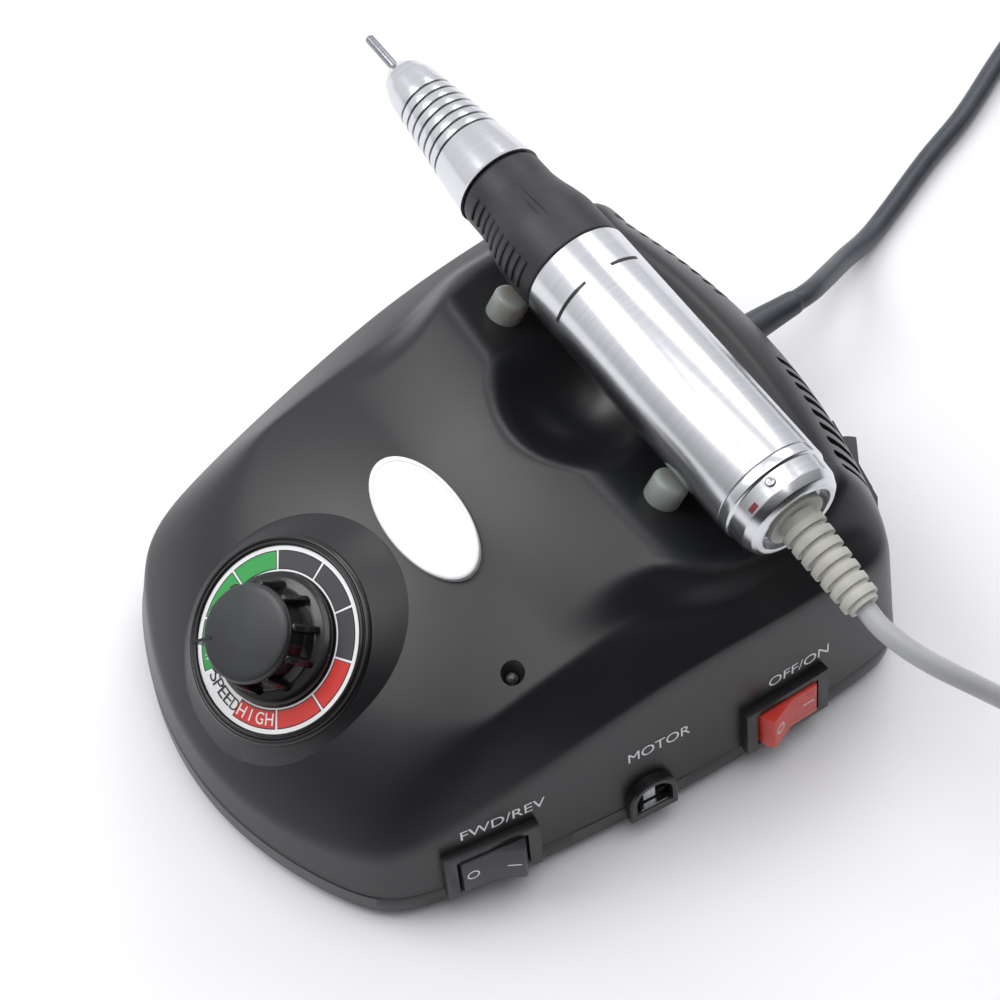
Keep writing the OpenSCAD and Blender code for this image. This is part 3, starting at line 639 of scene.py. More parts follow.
def set_copies(tree, given, points, rotation):
    """Sets the given piece on each point, makes the copies real and gives them their material."""
    shape = add_node(tree, "GeometryNodeObjectInfo", {"Object": given["Piece"]})
    copies = add_node(tree, "GeometryNodeInstanceOnPoints",
                      {"Points": points, "Instance": shape.outputs["Geometry"], "Rotation": rotation})
    real = add_node(tree, "GeometryNodeRealizeInstances", {"Geometry": copies.outputs[0]})
    finished = add_node(tree, "GeometryNodeSetMaterial",
                        {"Geometry": real.outputs[0], "Material": given["Material"]})
    add_node(tree, "NodeGroupOutput", {"Geometry": finished.outputs[0]})


follow, given = copies_tree("copies_along_a_line", Line="Object", Piece="Object", Count="Int",
                            Material="Material")
rail_line = add_node(follow, "GeometryNodeObjectInfo", {"Object": given["Line"]})
spots = add_node(follow, "GeometryNodeCurveToPoints",
                 {"Curve": rail_line.outputs["Geometry"], "Count": given["Count"]}, mode="COUNT")
facing = add_node(follow, "FunctionNodeAlignRotationToVector", {"Vector": spots.outputs["Tangent"]},
                  axis="X")
set_copies(follow, given, spots.outputs["Points"], facing.outputs[0])


def grown(name, tree, **inputs):
    """Runs a geometry tree with these named inputs and keeps the result as a plain mesh."""
    piece = in_scene(name, bpy.data.meshes.new(name))
    growth = piece.modifiers.new("growth", "NODES")
    growth.node_group = tree
    for item in tree.interface.items_tree:
        if item.in_out == "INPUT":
            growth[item.identifier] = inputs[item.name]
    return baked(piece)


vent_count, vent_pitch, vent_half, vent_width = 9, 3.94, 6.5, 1.05
vent_starts, vent_y, vent_z, vent_lean = (-43.5, 12.0), 75, 55.4, math.radians(-58)
slot_outline = ([(vent_width * math.cos(a), vent_half + vent_width * math.sin(a))
                 for a in np.linspace(0, math.pi, 9)]
                + [(vent_width * math.cos(a), -vent_half + vent_width * math.sin(a))
                   for a in np.linspace(math.pi, 2 * math.pi, 9)])
slot_piece = skin_of_rows("vent_slot", [[(x, y, z) for x, y in slot_outline] for z in (-6, 6)],
                          Matrix.Rotation(vent_lean, 4, "X"), shell_abs, True, True)
cutters = []
for start in vent_starts:
    rail = bpy.data.curves.new("vent_rail", "CURVE")
    rail.dimensions = "3D"
    spline = rail.splines.new("POLY")
    xs = [start + vent_pitch * k for k in range(vent_count)]
    spline.points.add(vent_count - 1)
    for point, x in zip(spline.points, xs):
        point.co = (x * MM, (vent_y - x * x / back_sag) * MM, vent_z * MM, 1)
    rail_piece = in_scene("vent_rail", rail)
    cutters.append(grown("vents", follow, Line=rail_piece, Piece=slot_piece, Count=vent_count,
                         Material=shell_abs))
    bpy.data.objects.remove(rail_piece)
bpy.data.objects.remove(slot_piece)
fwd_rev_y, power_y, side_switch_z = -42.0, 34.0, 16.8
mode_x, mode_z = 31.0, 27.0
motor_jack_y, motor_jack_z = -2.5, 13.5
pedal_jack_x, pedal_jack_z = 10.0, 24.0
for spot in (on_side(fwd_rev_y, side_switch_z), on_side(power_y, side_switch_z), on_back(mode_x, mode_z)):
    cutters.append(block("switch_hole", (-15, -10, -6.7), (15, 10, 6.7), spot, shell_abs))
outward = Matrix.Rotation(math.radians(90), 4, "Y")
for spot, radius in ((on_side(motor_jack_y, motor_jack_z), 5.2), (on_back(pedal_jack_x, pedal_jack_z), 4.2)):
    cutters.append(turned("jack_hole", [(0, -15), (radius, -15), (radius, 15), (0, 15)], spot @ outward,
                          shell_abs, edge=0.01, segments=48))
led_x, led_y = 40.2, -23.9
led_z = float(dome_z(led_x, led_y))
dial_seat = [(0, -12), (3.8, -12), (3.8, 0), (boss_r, 0), (boss_r, 9), (0, 9)]
cutters.append(turned("dial_seat", dial_seat, at_dial, shell_abs, edge=0.01))
led_hole = [(0, -12), (1.7, -12), (1.7, -1.6), (4, 2.4), (4, 6), (0, 6)]
cutters.append(turned("led_hole", led_hole, Matrix.Translation((led_x, led_y, led_z)), shell_abs,
                      edge=0.01, segments=32))
cut_away(shell, joined("shell_cutters", cutters), 22)
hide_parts("top_shell")
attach(shell, "housing")

# ---- Power supply and control board --------------------------------------------------------------
# An EI transformer of pressed steel sheets with a copper winding stands at the back.
# The board in front of it carries two capacitors, the drive transistor and its heat sink.

ring_copies, given = copies_tree("copies_in_a_row_or_ring", Piece="Object", Count="Int", Step="Vector",
                                 Turn="Vector", Material="Material")
spots = add_node(ring_copies, "GeometryNodeMeshLine", {"Count": given["Count"], "Offset": given["Step"]})
number = add_node(ring_copies, "GeometryNodeInputIndex").outputs[0]
turn = add_node(ring_copies, "ShaderNodeVectorMath", {0: given["Turn"], "Scale": number},
                operation="SCALE")
set_copies(ring_copies, given, spots.outputs[0], turn.outputs[0])


def repeated(name, piece, count, step=(0, 0, 0), turn=(0, 0, 0), place=Matrix.Identity(4)):
    """Copies of the piece, each one step and one turn (degrees) after the last, put at a place."""
    material = piece.data.materials[0]
    row = grown(name, ring_copies, Piece=piece, Count=count, Step=[s * MM for s in step],
                Turn=[math.radians(t) for t in turn], Material=material)
    bpy.data.objects.remove(piece)
    row.data.transform(Matrix.Translation(place.to_translation() * MM) @ place.to_3x3().to_4x4())
    return row


def finish(name, low, high, scale, rough, metal=0.0, grain=1500.0, relief=0.1, stretch=(1, 1, 1), **more):
    """A finish whose colour and gloss drift over the piece, with a fine surface relief."""
    material, tree, shader = new_material(name)
    place = add_node(tree, "ShaderNodeTexCoord").outputs["Object"]
    along = add_node(tree, "ShaderNodeVectorMath", {0: place, 1: stretch}, operation="MULTIPLY").outputs[0]
    cloud = add_node(tree, "ShaderNodeTexNoise", {"Vector": along, "Scale": scale, "Detail": 4.0})
    tint = add_node(tree, "ShaderNodeValToRGB", {"Fac": cloud.outputs["Fac"]})
    tint.color_ramp.elements[0].color, tint.color_ramp.elements[1].color = linear(low), linear(high)
    tint.color_ramp.elements[0].position, tint.color_ramp.elements[1].position = 0.35, 0.7
    sheen = add_node(tree, "ShaderNodeMapRange", {"Value": cloud.outputs["Fac"], "To Min": rough[0],
                                                  "To Max": rough[1]})
    skin = add_node(tree, "ShaderNodeTexNoise", {"Vector": along, "Scale": grain, "Detail": 3.0})
    bump = add_node(tree, "ShaderNodeBump",
                    {"Height": skin.outputs["Fac"], "Strength": relief, "Distance": 0.0001})
    tree.links.new(tint.outputs[0], shader.inputs["Base Color"])
    tree.links.new(sheen.outputs[0], shader.inputs["Roughness"])
    tree.links.new(bump.outputs[0], shader.inputs["Normal"])
    shader.inputs["Metallic"].default_value = metal
    for socket, value in more.items():
        shader.inputs[socket.replace("_", " ")].default_value = value
    return material


def placed(piece, body, slot, *stands_for):
    """Puts a piece on its body, for the nodes that it stands for; slot is not used."""
    if stands_for:
        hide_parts(*stands_for)
    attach(piece, body)


def dressed(node, name, edge, material, body, slot, segments=3):
    """The node's softened solid in its material, placed on its body."""
    placed(softened(node, name, edge, material, segments), body, slot, node)


# rolled silicon steel, its 0.5 mm sheets seen edge on
sheet_steel = finish("silicon_steel_sheets", "#4d5157", "#7c8087", 300.0, (0.35, 0.55), 0.9, 900.0, 0.3,
                     (1, 9, 1))
# enamelled copper wire, wound: fine ridges that run round the bobbin
enamel_wire = finish("enamelled_copper_wire", "#7d3f16", "#b96f31", 400.0, (0.2, 0.35), 0.8, 1400.0, 0.5,
                     (0.1, 0.1, 6))
# nickel-plated steel: bright, with light handling marks
nickel = finish("nickel_plated_steel", "#9b9da1", "#c6c8cb", 160.0, (0.18, 0.34), 1.0, 1200.0, 0.1)
# glass-epoxy board under green solder mask, with faint copper traces
solder_mask = finish("green_solder_mask", "#1d5a30", "#2f7a45", 240.0, (0.25, 0.4), 0.0, 700.0, 0.25,
                     (1, 4, 1))
# heat-shrunk PVC sleeve
can_sleeve = finish("blue_shrink_sleeve", "#16244f", "#22356f", 120.0, (0.25, 0.4))
# extruded aluminium, bead blasted
extrusion = finish("blasted_aluminium", "#7f8388", "#9fa3a8", 260.0, (0.45, 0.6), 0.9, 1800.0, 0.3)
# transfer-moulded epoxy, matte
epoxy = finish("moulded_epoxy", "#141416", "#232326", 200.0, (0.5, 0.65), 0.0, 1700.0, 0.3)
for node, name, edge, paint, body, slot in (
        ("transformer_core", "transformer_sheets", 0.4, sheet_steel, "housing", "steel"),
        ("transformer_coil", "copper_winding", 1.2, enamel_wire, "housing", "copper"),
        ("transformer_screws", "transformer_screw_set", 0.3, nickel, "housing", "steel"),
        ("control_board", "drive_board", 0.15, solder_mask, "housing", "board_green"),
        ("board_screws", "board_screw_set", 0.25, nickel, "housing", "steel"),
        ("filter_capacitors", "capacitor_cans", 0.8, can_sleeve, "housing", "black_gloss"),
        ("heat_sink", "heat_sink_fins", 0.3, extrusion, "housing", "aluminium"),
        ("power_transistor", "transistor_package", 0.25, epoxy, "housing", "black_gloss"),
        ("speed_pot", "speed_pot_can", 0.5, nickel, "housing", "steel"),
        ("pot_nut", "speed_pot_nut", 0.25, nickel, "housing", "steel"),
        ("pot_shaft", "speed_pot_shaft", 0.3, nickel, "knob", "steel")):
    dressed(node, name, edge, paint, body, slot)

# ---- Dial plate ----------------------------------------------------------------------------------
# A white polystyrene disc, pad printed with nine speed fields, lies on the dial's boss
# inside a black rim of two rounded beads.

white_plate = finish("white_polystyrene", "#e9e9ea", "#f4f4f5", 90.0, (0.28, 0.38))
black_rim = finish("gloss_black_abs", "#0e0f10", "#17181a", 90.0, (0.16, 0.28), grain=900.0, relief=0.05)
inks = {"green": "#2f9e4a", "grey": "#3c3d40", "red": "#cf322b", "black": "#161719", "white": "#f2f2f2"}
ink = {name: finish("pad_print_" + name, colour, colour, 90.0, (0.35, 0.45), relief=0.03)
       for name, colour in inks.items()}
plate = turned("dial_plate_disc", [(6.6, 0.05), (20.9, 0.05), (20.9, 0.8), (6.6, 0.8), (6.6, 0.05)], at_dial,
               white_plate, edge=0.1)
rim_beads = [(20.8, 0), (20.8, 1.1), (21.3, 1.5), (21.8, 1.2), (22, 0.8), (22.3, 1.1), (22.8, 1.1),
             (23.4, 0.5), (23.5, -0.3), (20.8, -0.3), (20.8, 0)]
rim = turned("dial_rim", rim_beads, at_dial, black_rim, edge=0.25)
placed(plate, "housing", "white_plastic", "dial_plate")
placed(rim, "housing", "black_gloss")


def sector(name, inner, outer, start_deg, end_deg, low, high, place, material, cells=24):
    """A flat piece of a ring, from one angle to another."""
    rows = []
    for k in range(cells + 1):
        a = math.radians(start_deg + (end_deg - start_deg) * k / cells)
        rows.append([(r * math.cos(a), r * math.sin(a), z) for r, z in
                     ((inner, low), (outer, low), (outer, high), (inner, high))])
    return skin_of_rows(name, rows, place, material, True, True)


def lettering(name, text, height, place, material, width=None, thick=0.02):
    """Plain raised letters, centred on the place: X reads along, Y is up."""
    curve = bpy.data.curves.new(name, "FONT")
    curve.body = text
    curve.extrude = thick
    source = in_scene(name, curve)
    mesh = bpy.data.meshes.new_from_object(source.evaluated_get(bpy.context.evaluated_depsgraph_get()))
    bpy.data.objects.remove(source)
    spots = np.array([v.co for v in mesh.vertices])
    low, high = spots.min(axis=0), spots.max(axis=0)
    tall = height / (high[1] - low[1])
    wide = width / (high[0] - low[0]) if width else tall
    middle = Matrix.Translation(-Vector(((low[0] + high[0]) / 2, (low[1] + high[1]) / 2, 0)))
    mesh.transform(Matrix.Scale(MM, 4) @ place @ Matrix.Diagonal((wide, tall, 1, 1)) @ middle)
    mesh.materials.clear()
    mesh.materials.append(material)
    return in_scene(name, mesh)


fields = ["green"] * 3 + ["grey"] * 3 + ["red"] * 3
field_pitch, first_field, field_half = 36.1, 230.5, 16.8
letter_r, letter_h, letter_w, thin_w = 17.6, 2.7, 2.0, 0.35
prints = {name: [] for name in ink}
for k, colour in enumerate(fields):
    middle = first_field - field_pitch * k
    prints["black"].append(sector("edge", 15.5, 19.8, middle - field_half - 0.5, middle + field_half + 0.5,
                                  0.79, 0.83, at_dial, ink["black"]))
    prints[colour].append(sector("field", 15.75, 19.55, middle - field_half, middle + field_half,
                                 0.8, 0.86, at_dial, ink[colour]))
prints["black"].append(sector("hub", 6.7, 15.1, 0, 360, 0.79, 0.84, at_dial, ink["black"], 96))
words = [("LOW", first_field, "white", 8.2), ("HIGH", first_field - 8 * field_pitch, "white", 8.2),
         ("SPEED", 268.0, "black", 6.9)]
for word, middle, colour, pitch in words:
    for k, letter in enumerate(word):
        angle = middle + (k - (len(word) - 1) / 2) * pitch
        spot = (at_dial @ Matrix.Rotation(math.radians(angle), 4, "Z")
                @ Matrix.Translation((letter_r, 0, 0.87))
                @ Matrix.Rotation(math.radians(90), 4, "Z"))
        prints[colour].append(lettering("letter", letter, letter_h, spot, ink[colour],
                                        thin_w if letter == "I" else letter_w))
for colour, marks in prints.items():
    placed(joined("dial_print_" + colour, marks), "housing", "white_plastic")

# ---- Speed knob ----------------------------------------------------------------------------------
# Moulded black ABS: a skirt, a fluted body with ten ribs, a pointer, and a separate
# satin cap that covers the clamping screw.

knob_low, knob_h, core_r, skirt_r = 1.5, 14.5, 11.0, 14.8
rib_count, rib_taper, pointer_deg = 10, 1.2, 234
knob_top = knob_low + knob_h - 3
knob_core = turned("knob_core", [(2.95, knob_low), (skirt_r, knob_low), (skirt_r, knob_low + 1.3),
                                 (13.6, knob_low + 2), (11.4, knob_low + 2.4), (10.4, knob_low + 5),
                                 (10.3, knob_top - 2), (core_r, knob_top - 0.8), (core_r, knob_top),
                                 (2.95, knob_top), (2.95, knob_low)], at_dial, black_rim, edge=0.4)
rib = block("rib", (9.6, -0.8, knob_low + 1), (12.9, 0.8, knob_top - 0.5), Matrix.Identity(4), black_rim)
for vertex in rib.data.vertices:
    if vertex.co.x > 0.011 and vertex.co.z > 0.01:
        vertex.co.x -= rib_taper * MM
round_rib = rib.modifiers.new("rounding", "BEVEL")
round_rib.width, round_rib.segments = 0.35 * MM, 3
baked(rib)
half_step = Matrix.Rotation(math.radians(180 / rib_count), 4, "Z")
ribs = repeated("knob_ribs", rib, rib_count, turn=(0, 0, 360 / rib_count), place=at_dial @ half_step)
pointer = block("pointer", (8.4, -0.35, knob_low + 0.6), (14.2, 0.35, knob_top + 1.5),
                at_dial @ Matrix.Rotation(math.radians(pointer_deg), 4, "Z"), black_rim)
for vertex in pointer.data.vertices:
    outer = (at_dial.inverted() @ (vertex.co / MM)).to_2d().length > 12
    if outer and (at_dial.inverted() @ (vertex.co / MM)).z > 8:
        vertex.co -= at_dial.to_3x3() @ Vector((0, 0, 1.4 * MM))
placed(joined("speed_knob_body", [knob_core, ribs, pointer]), "knob", "black_gloss", "speed_knob")
# satin knob cap, rubbed by fingers
cap_abs = finish("satin_knob_cap", "#232426", "#303234", 60.0, (0.3, 0.42), grain=2200.0, relief=0.12)
cap_arc = [(10.9 * f, knob_top + 1.7 - 0.7 * f * f) for f in np.linspace(0, 0.86, 14)]
cap_side = [(10.5, knob_top + 0.95), (10.9, knob_top + 0.2), (10.85, knob_top), (0, knob_top)]
knob_cap = turned("knob_top_cap", cap_arc + cap_side, at_dial, cap_abs, edge=0.5)
placed(knob_cap, "knob", "black_gloss", "knob_cap")

# ---- Badge, pilot lamp and cradle pads -----------------------------------------------------------
# A blank white oval badge in its recess, a clear lamp sunk in a countersunk hole, and
# four clear silicone pads that carry the handpiece.

badge_y = -19.0
badge_place = (Matrix.Translation((0, badge_y, float(dome_z(0, badge_y)) + 0.3))
               @ Matrix.Rotation(math.radians(16), 4, "X") @ Matrix.Diagonal((2, 1, 1, 1)))
badge_profile = [(0, -1.2), (8.8, -1.2), (8.8, 0.9), (8.5, 1.2), (8.15, 1.2), (8, 1.05), (0, 1.05)]
badge = turned("oval_badge_plate", badge_profile, badge_place, white_plate, edge=0.15, segments=192)
placed(badge, "housing", "white_plastic", "oval_badge")
# water-clear epoxy lens, lamp off
lens = finish("clear_epoxy_lens", "#8d8a86", "#a09c97", 90.0, (0.05, 0.12), Transmission_Weight=0.9, IOR=1.5)
dressed("power_led", "pilot_lamp", 0.2, lens, "housing", "led_lens")
# clear silicone, a little yellowed and cloudy
silicone = finish("clear_silicone_rubber", "#b0b1ad", "#c8c9c3", 120.0, (0.25, 0.4), Transmission_Weight=0.4,
                  Subsurface_Weight=0.3, IOR=1.41)
dressed("cradle_pads", "cradle_pad_discs", 1.3, silicone, "housing", "clear_silicone", 4)

# ---- Rocker switches -----------------------------------------------------------------------------
# Three snap-in switches of one kind: a black nylon bezel, a rocker on two short pins,
# and printed marks. The power rocker is translucent red.

nylon = finish("black_nylon", "#17181a", "#222326", 80.0, (0.3, 0.42), grain=1800.0, relief=0.15)
rocker_black = finish("rocker_black_nylon", "#27292b", "#313336", 80.0, (0.32, 0.42), grain=1800.0,
                      relief=0.1)
rocker_red = finish("rocker_red_polycarbonate", "#d8352a", "#e2483a", 70.0, (0.22, 0.32),
                    Subsurface_Weight=0.2)
along_wall = Matrix(((0, 0, 1, 0), (1, 0, 0, 0), (0, 1, 0, 0), (0, 0, 0, 1)))
pivot_x = 0.2
for body, spot, rest, paint, slot in (
        ("fwd_rev", on_side(fwd_rev_y, side_switch_z), -11, rocker_black, "black_gloss"),
        ("power", on_side(power_y, side_switch_z), 11, rocker_red, "red_plastic"),
        ("mode", on_back(mode_x, mode_z), -11, rocker_black, "black_gloss")):
    dressed(body + "_bezel", body + "_bezel_frame", 0.7, nylon, "housing", "black_gloss")
    dressed(body + "_rocker", body + "_rocker_key", 0.45, paint, body, slot)
    rocked = spot @ Matrix.Translation((pivot_x, 0, 0)) @ Matrix.Rotation(math.radians(rest), 4, "Z")
    face_o = rocked @ Matrix.Translation((3.78, -4.7, 0)) @ Matrix.Rotation(math.radians(10.7), 4, "Z")
    face_i = rocked @ Matrix.Translation((3.78, 4.7, 0)) @ Matrix.Rotation(math.radians(-10.7), 4, "Z")
    circle = turned("circle", [(1.15, -0.1), (1.5, -0.1), (1.5, 0.05), (1.15, 0.05), (1.15, -0.1)],
                    face_o @ outward, ink["white"], edge=0.02, segments=48)
    dash = block("dash", (-0.1, -1.6, -0.17), (0.05, 1.6, 0.17), face_i, ink["white"])
    placed(joined(body + "_marks", [circle, dash]), body, "white_plastic")


def laid_on(piece, surface, outward_way):
    """Shifts each point of a flat print along the outward way, so that the print lies on the surface."""
    for vertex in piece.data.vertices:
        start = vertex.co + outward_way * 0.005
        hit, spot, _, _ = surface.ray_cast(start, -outward_way, distance=0.01)
        if hit:
            vertex.co = spot + outward_way * 0.00005
    return piece


legends = []
legend_h, legend_z = 3.4, 29.2
for text, y, width in (("FWD/REV", -37.8, 20.5), ("MOTOR", 1.0, 16.0), ("OFF/ON", 38.6, 16.8)):
    spot = on_side(y, legend_z)
    words_piece = lettering("legend", text, legend_h, spot @ along_wall, ink["white"], width, 0.0)
    legends.append(laid_on(words_piece, shell, spot.to_3x3() @ Vector((1, 0, 0))))
placed(joined("side_legends", legends), "housing", "white_plastic")

# ---- Sockets -------------------------------------------------------------------------------------
# Two round sockets: the motor's with an arched hood and a bright contact spring, and the
# foot pedal's on the back.

def arch(radius, foot, x):
    """Outline of a round arch on straight legs, in the wall's plane."""
    return [(x, radius * math.cos(a), radius * math.sin(a)) for a in np.linspace(0, math.pi, 33)] + [
        (x, -radius, -foot), (x, radius, -foot)]


motor_spot = on_side(motor_jack_y, motor_jack_z)
hood_rows = [arch(radius, foot, x) for radius, foot, x in (
    (5, 5, -12), (5, 5, 0), (6.2, 6.4, 0.1), (6.2, 6.4, 2.2), (5.8, 6, 2.7), (4.7, 4.4, 2.7),
    (4.5, 4.2, 2.2), (4.5, 4.2, -2), (2.8, 2.8, -2.1))]
hood = skin_of_rows("motor_socket_hood", hood_rows, motor_spot, nylon, True, True)
placed(baked(hood), "housing", "black_gloss", "motor_jack")
dressed("pedal_jack", "pedal_socket_body", 0.4, nylon, "housing", "black_gloss")
contacts = []
reach_in = -9.5
for spot in (motor_spot, on_back(pedal_jack_x, pedal_jack_z)):
    contacts.append(turned("contact", [(2.3, reach_in), (2.78, reach_in), (2.78, -1.2), (2.3, -1.2),
                                       (2.3, reach_in)], spot @ outward, nickel, edge=0.1, segments=48))
contacts.append(block("spring", (-1.9, -3.4, -3.9), (2.2, 3.4, -3.3), motor_spot, nickel))
contacts.append(block("spring_tab", (-1.9, -1.9, -2.6), (0.6, 1.2, 1.6), motor_spot, nickel))
placed(joined("socket_contacts", contacts), "housing", "steel")

# ---- Feet and case screws ------------------------------------------------------------------------
# Four moulded rubber feet are glued into shallow wells in the tray. Four self-tapping
# screws of nickel-plated steel close the case from below.

foot_rubber = finish("black_foot_rubber", "#161616", "#222222", 200.0, (0.6, 0.75), grain=1300.0, relief=0.3)
dressed("rubber_feet", "rubber_foot_set", 0.8, foot_rubber, "housing", "black_rubber")
dressed("case_screws", "case_screw_set", 0.35, nickel, "housing", "steel")

# ---- Handpiece motor and chuck -------------------------------------------------------------------
# The motor, its brush cap and two ball bearings sit in the aluminium body. The spindle
# carries the collet, which the lock sleeve closes on the bit.

motor_steel = finish("zinc_plated_can", "#6c6f74", "#8d9096", 200.0, (0.3, 0.45), 1.0, 1100.0, 0.15)
chuck_steel = finish("hardened_steel", "#85888c", "#a9acb0", 300.0, (0.18, 0.3), 1.0, 2000.0, 0.1, (9, 1, 1))
armature = finish("lacquered_armature", "#5c3216", "#8f5a2c", 300.0, (0.25, 0.4), 0.5, 1200.0, 0.4)
for node, name, body, paint, slot, edge in (
        ("motor_can", "motor_can_shell", "handpiece", motor_steel, "steel", 0.6),
        ("brush_cap", "brush_cap_moulding", "handpiece", epoxy, "black_gloss", 0.4),
        ("front_bearing", "front_ball_bearing", "handpiece", chuck_steel, "steel", 0.3),
        ("rear_bearing", "rear_ball_bearing", "handpiece", chuck_steel, "steel", 0.3),
        ("chuck_spring", "chuck_spring_wire", "handpiece", chuck_steel, "steel", 0.35),
        ("spindle", "spindle_shaft", "spindle", chuck_steel, "steel", 0.2),
        ("collet", "collet_jaws", "spindle", chuck_steel, "steel", 0.15),
        ("rotor", "motor_rotor", "spindle", armature, "copper", 0.4)):
    dressed(node, name, edge, paint, body, slot)

# ---- Bit -----------------------------------------------------------------------------------------
# A plain 2.35 mm steel shank, ground and polished. It slides into the collet from the
# front and is held there by friction.

dressed("nail_bit", "bit_shank", 0.12, chuck_steel, "bit", "steel")

# ---- Handpiece body ------------------------------------------------------------------------------
# Turned and polished aluminium: a nose with seven grooves, each with a black ring at its bottom as painted
# shade, a barrel with two printed arcs, and an end cap held by two small cross-head screws.


def on_axis(x):
    """Local Z runs along the handpiece, from x towards its tail."""
    return Matrix.Translation((x, hand_y, hand_z)) @ Matrix.Rotation(math.radians(90), 4, "Y")


# polished aluminium with the lathe's fine rings
aluminium = finish("polished_aluminium", "#d4d6d9", "#dbdddf", 40.0, (0.2, 0.23), 1.0, 60.0, 0.02,
                   (60, 0.2, 0.2))
nose_x, sleeve_x, barrel_x, cap_x = -97.0, -54.5, -25.0, 44.0
neck_r, barrel_r, barrel_in = 9.2, 13.25, 11.6
nose_outline = [(2.1, 0), (2.7, 0), (5.1, 2.7), (6.4, 6.2), (7.05, 10.5)]
groove_count, first_groove, groove_pitch = 7, 12.6, 2.75
# a thin black ring in the black print ink is sunk at the bottom of each groove: painted shade in the grooves
groove_shade_rings = []
for k in range(groove_count):
    low, r = first_groove + groove_pitch * k, 7.05 + 3.7 * (2.1 + groove_pitch * k) / 31
    nose_outline += [(r, low), (r - 0.45, low + 0.03), (r - 0.42, low + 0.57), (r + 0.06, low + 0.6)]
    groove_shade_rings.append(turned("groove", [(r - 0.6, low + 0.1), (r - 0.38, low + 0.1), (r - 0.35, low + 0.5),
                                     (r - 0.6, low + 0.5), (r - 0.6, low + 0.1)], on_axis(nose_x),
                          ink["black"], edge=0.02, segments=96))
nose_outline += [(10.75, 41.5), (11, 42.2), (neck_r, 42.2), (neck_r, 74), (7, 74), (7, 43.5), (6.6, 43.5),
                 (6.6, 36), (5.5, 36), (5.5, 12), (2.9, 12), (2.9, 3.2), (2.1, 3.2), (2.1, 0)]
nose = turned("nose_turning", nose_outline, on_axis(nose_x), aluminium, edge=0.12)
placed(nose, "handpiece", "aluminium", "nose_cone")
# the black rings of painted shade in the nose grooves
placed(joined("nose_groove_fill", groove_shade_rings), "handpiece", "black_gloss")
barrel_profile = [(neck_r + 0.1, 0), (barrel_r, 0), (barrel_r, 69), (barrel_in, 69), (barrel_in, 2),
                  (neck_r + 0.1, 2), (neck_r + 0.1, 0)]
barrel = turned("barrel_tube", barrel_profile, on_axis(barrel_x), aluminium, edge=0.25)
placed(barrel, "handpiece", "aluminium", "rear_barrel")
cap_profile = [(5, -4), (barrel_in - 0.1, -4), (barrel_in - 0.1, 0.1), (barrel_r, 0.1), (barrel_r, 2.6),
               (12.7, 3), (12.4, 7.2), (11.4, 9.3), (10.2, 10.2), (9, 10.2), (9, 7), (5, 7), (5, -4)]
end_cap = turned("end_cap_turning", cap_profile, on_axis(cap_x), aluminium, edge=0.2)
placed(end_cap, "handpiece", "aluminium", "end_cap")


def band(name, radius, low, high, start_deg, end_deg, x, material):
    """A thin printed strip on a round part; angles are from the back towards the top."""
    return sector(name, radius - 0.05, radius + 0.03, start_deg, end_deg, low, high, on_axis(x)
                  @ Matrix.Rotation(math.radians(90), 4, "Z"), material)


arcs = [band("arc", barrel_r, 9.8, 10.7, start, end, barrel_x, ink["black"])
        for start, end in ((114, 166), (49, 84))]
placed(joined("barrel_arcs", arcs), "handpiece", "black_gloss")
dark_red = finish("dark_red_enamel", "#6a1c25", "#7c222c", 90.0, (0.35, 0.45), relief=0.03)
placed(band("end_cap_mark", 12.5, 5.4, 6.7, 133, 144, cap_x, dark_red), "handpiece", "red_plastic")
screws = []
for a in (109, 289):
    spot = on_axis(cap_x + 4.6) @ Matrix.Rotation(math.radians(90 + a), 4, "Z") @ outward
    head = turned("head", [(0, 11.4), (1.25, 11.4), (1.25, 12.6), (0.9, 12.85), (0, 12.95)], spot, nickel,
                  edge=0.15, segments=32)
    for half_x, half_y in ((0.16, 0.75), (0.75, 0.16)):
        bar = block("bar", (-half_x, -half_y, 12.6), (half_x, half_y, 13.2), spot, nickel)
        cut_away(head, bar)
    screws.append(head)
placed(joined("end_cap_screw_pair", screws), "handpiece", "steel", "end_cap_screws")

# ---- Lock sleeve ---------------------------------------------------------------------------------
# A moulded rubber-coated sleeve that is twisted to open the collet. It has two ribbed
# finger panels and two raised lines on top.

grip_rubber = finish("soft_touch_rubber", "#232426", "#2f3033", 70.0, (0.42, 0.55), grain=1800.0, relief=0.2)
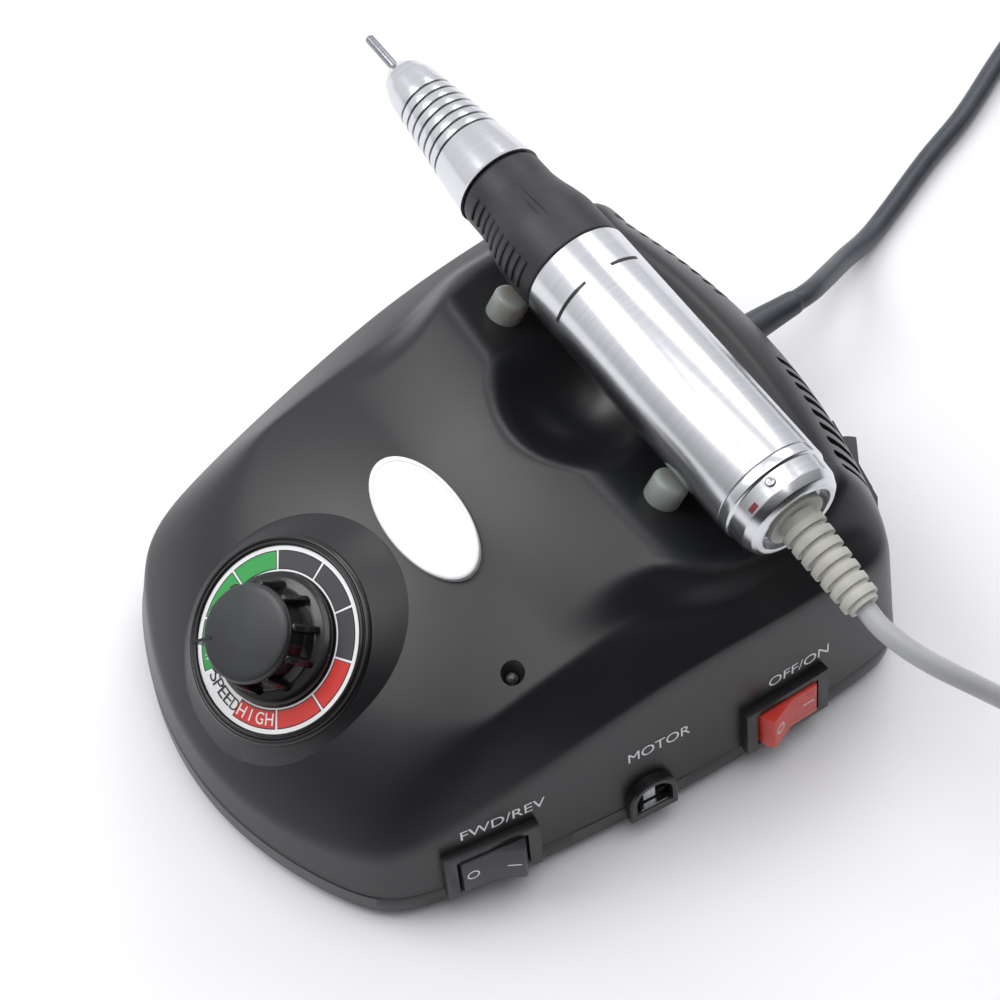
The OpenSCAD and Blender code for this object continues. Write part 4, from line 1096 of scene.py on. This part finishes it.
# (distance from the sleeve's front, radius)
sleeve_flare = [(0.8, 10.7), (7, 10.8), (10.5, 11.4), (14, 12.3), (17, 12.9), (18.5, 13.1), (29.2, 13.1)]
sleeve_in = neck_r + 0.25
sleeve_profile = ([(sleeve_in, 0), (10.2, 0)] + [(radius, z) for z, radius in sleeve_flare]
                  + [(sleeve_in, 29.2), (sleeve_in, 0)])
sleeve = turned("lock_sleeve_grip", sleeve_profile, on_axis(sleeve_x), grip_rubber, edge=0.6)
placed(sleeve, "lock", "black_rubber", "lock_sleeve")


def sleeve_radius(z):
    """Radius of the sleeve at a distance from its front."""
    return float(np.interp(z, *zip(*sleeve_flare)))


sleeve_ribs = []
for a in (163, 343):
    for k in range(10):
        z = 3.2 + 2.35 * k
        rib = sector("rib", sleeve_radius(z) - 0.5, sleeve_radius(z) + 0.45, a - 17, a + 17, z, z + 1.1,
                     on_axis(sleeve_x) @ Matrix.Rotation(math.radians(90), 4, "Z"), grip_rubber, 10)
        round_rib = rib.modifiers.new("rounding", "BEVEL")
        round_rib.width, round_rib.segments = 0.25 * MM, 2
        sleeve_ribs.append(baked(rib))
for a, low, high in ((97, 8.5, 21.5), (104, 12, 20)):
    line = []
    for z in np.linspace(low, high, 14):
        swell = 0.28 * math.sin(math.pi * (z - low) / (high - low))
        r, w = sleeve_radius(z), 3.0 * swell
        line.append([(r - 0.3, -w / 2 - 0.05, z), (r + swell, -w / 6, z),
                     (r + swell, w / 6, z), (r - 0.3, w / 2 + 0.05, z)])
    line_place = on_axis(sleeve_x) @ Matrix.Rotation(math.radians(90 + a), 4, "Z")
    sleeve_ribs.append(skin_of_rows("line", line, line_place, grip_rubber, True, True))
placed(joined("sleeve_ribs", sleeve_ribs), "lock", "black_rubber")

# ---- Cord boot -----------------------------------------------------------------------------------
# Soft grey PVC, moulded on the cord and held by the end cap: collars on a slimmer
# core, so that it bends without kinking the lead.

boot_pvc = finish("grey_boot_pvc", "#a9a9a1", "#bcbcb4", 90.0, (0.42, 0.55), grain=1500.0, relief=0.15,
                  Subsurface_Weight=0.05)
dressed("cord_boot", "cord_boot_collars", 0.5, boot_pvc, "handpiece", "grey_pvc")
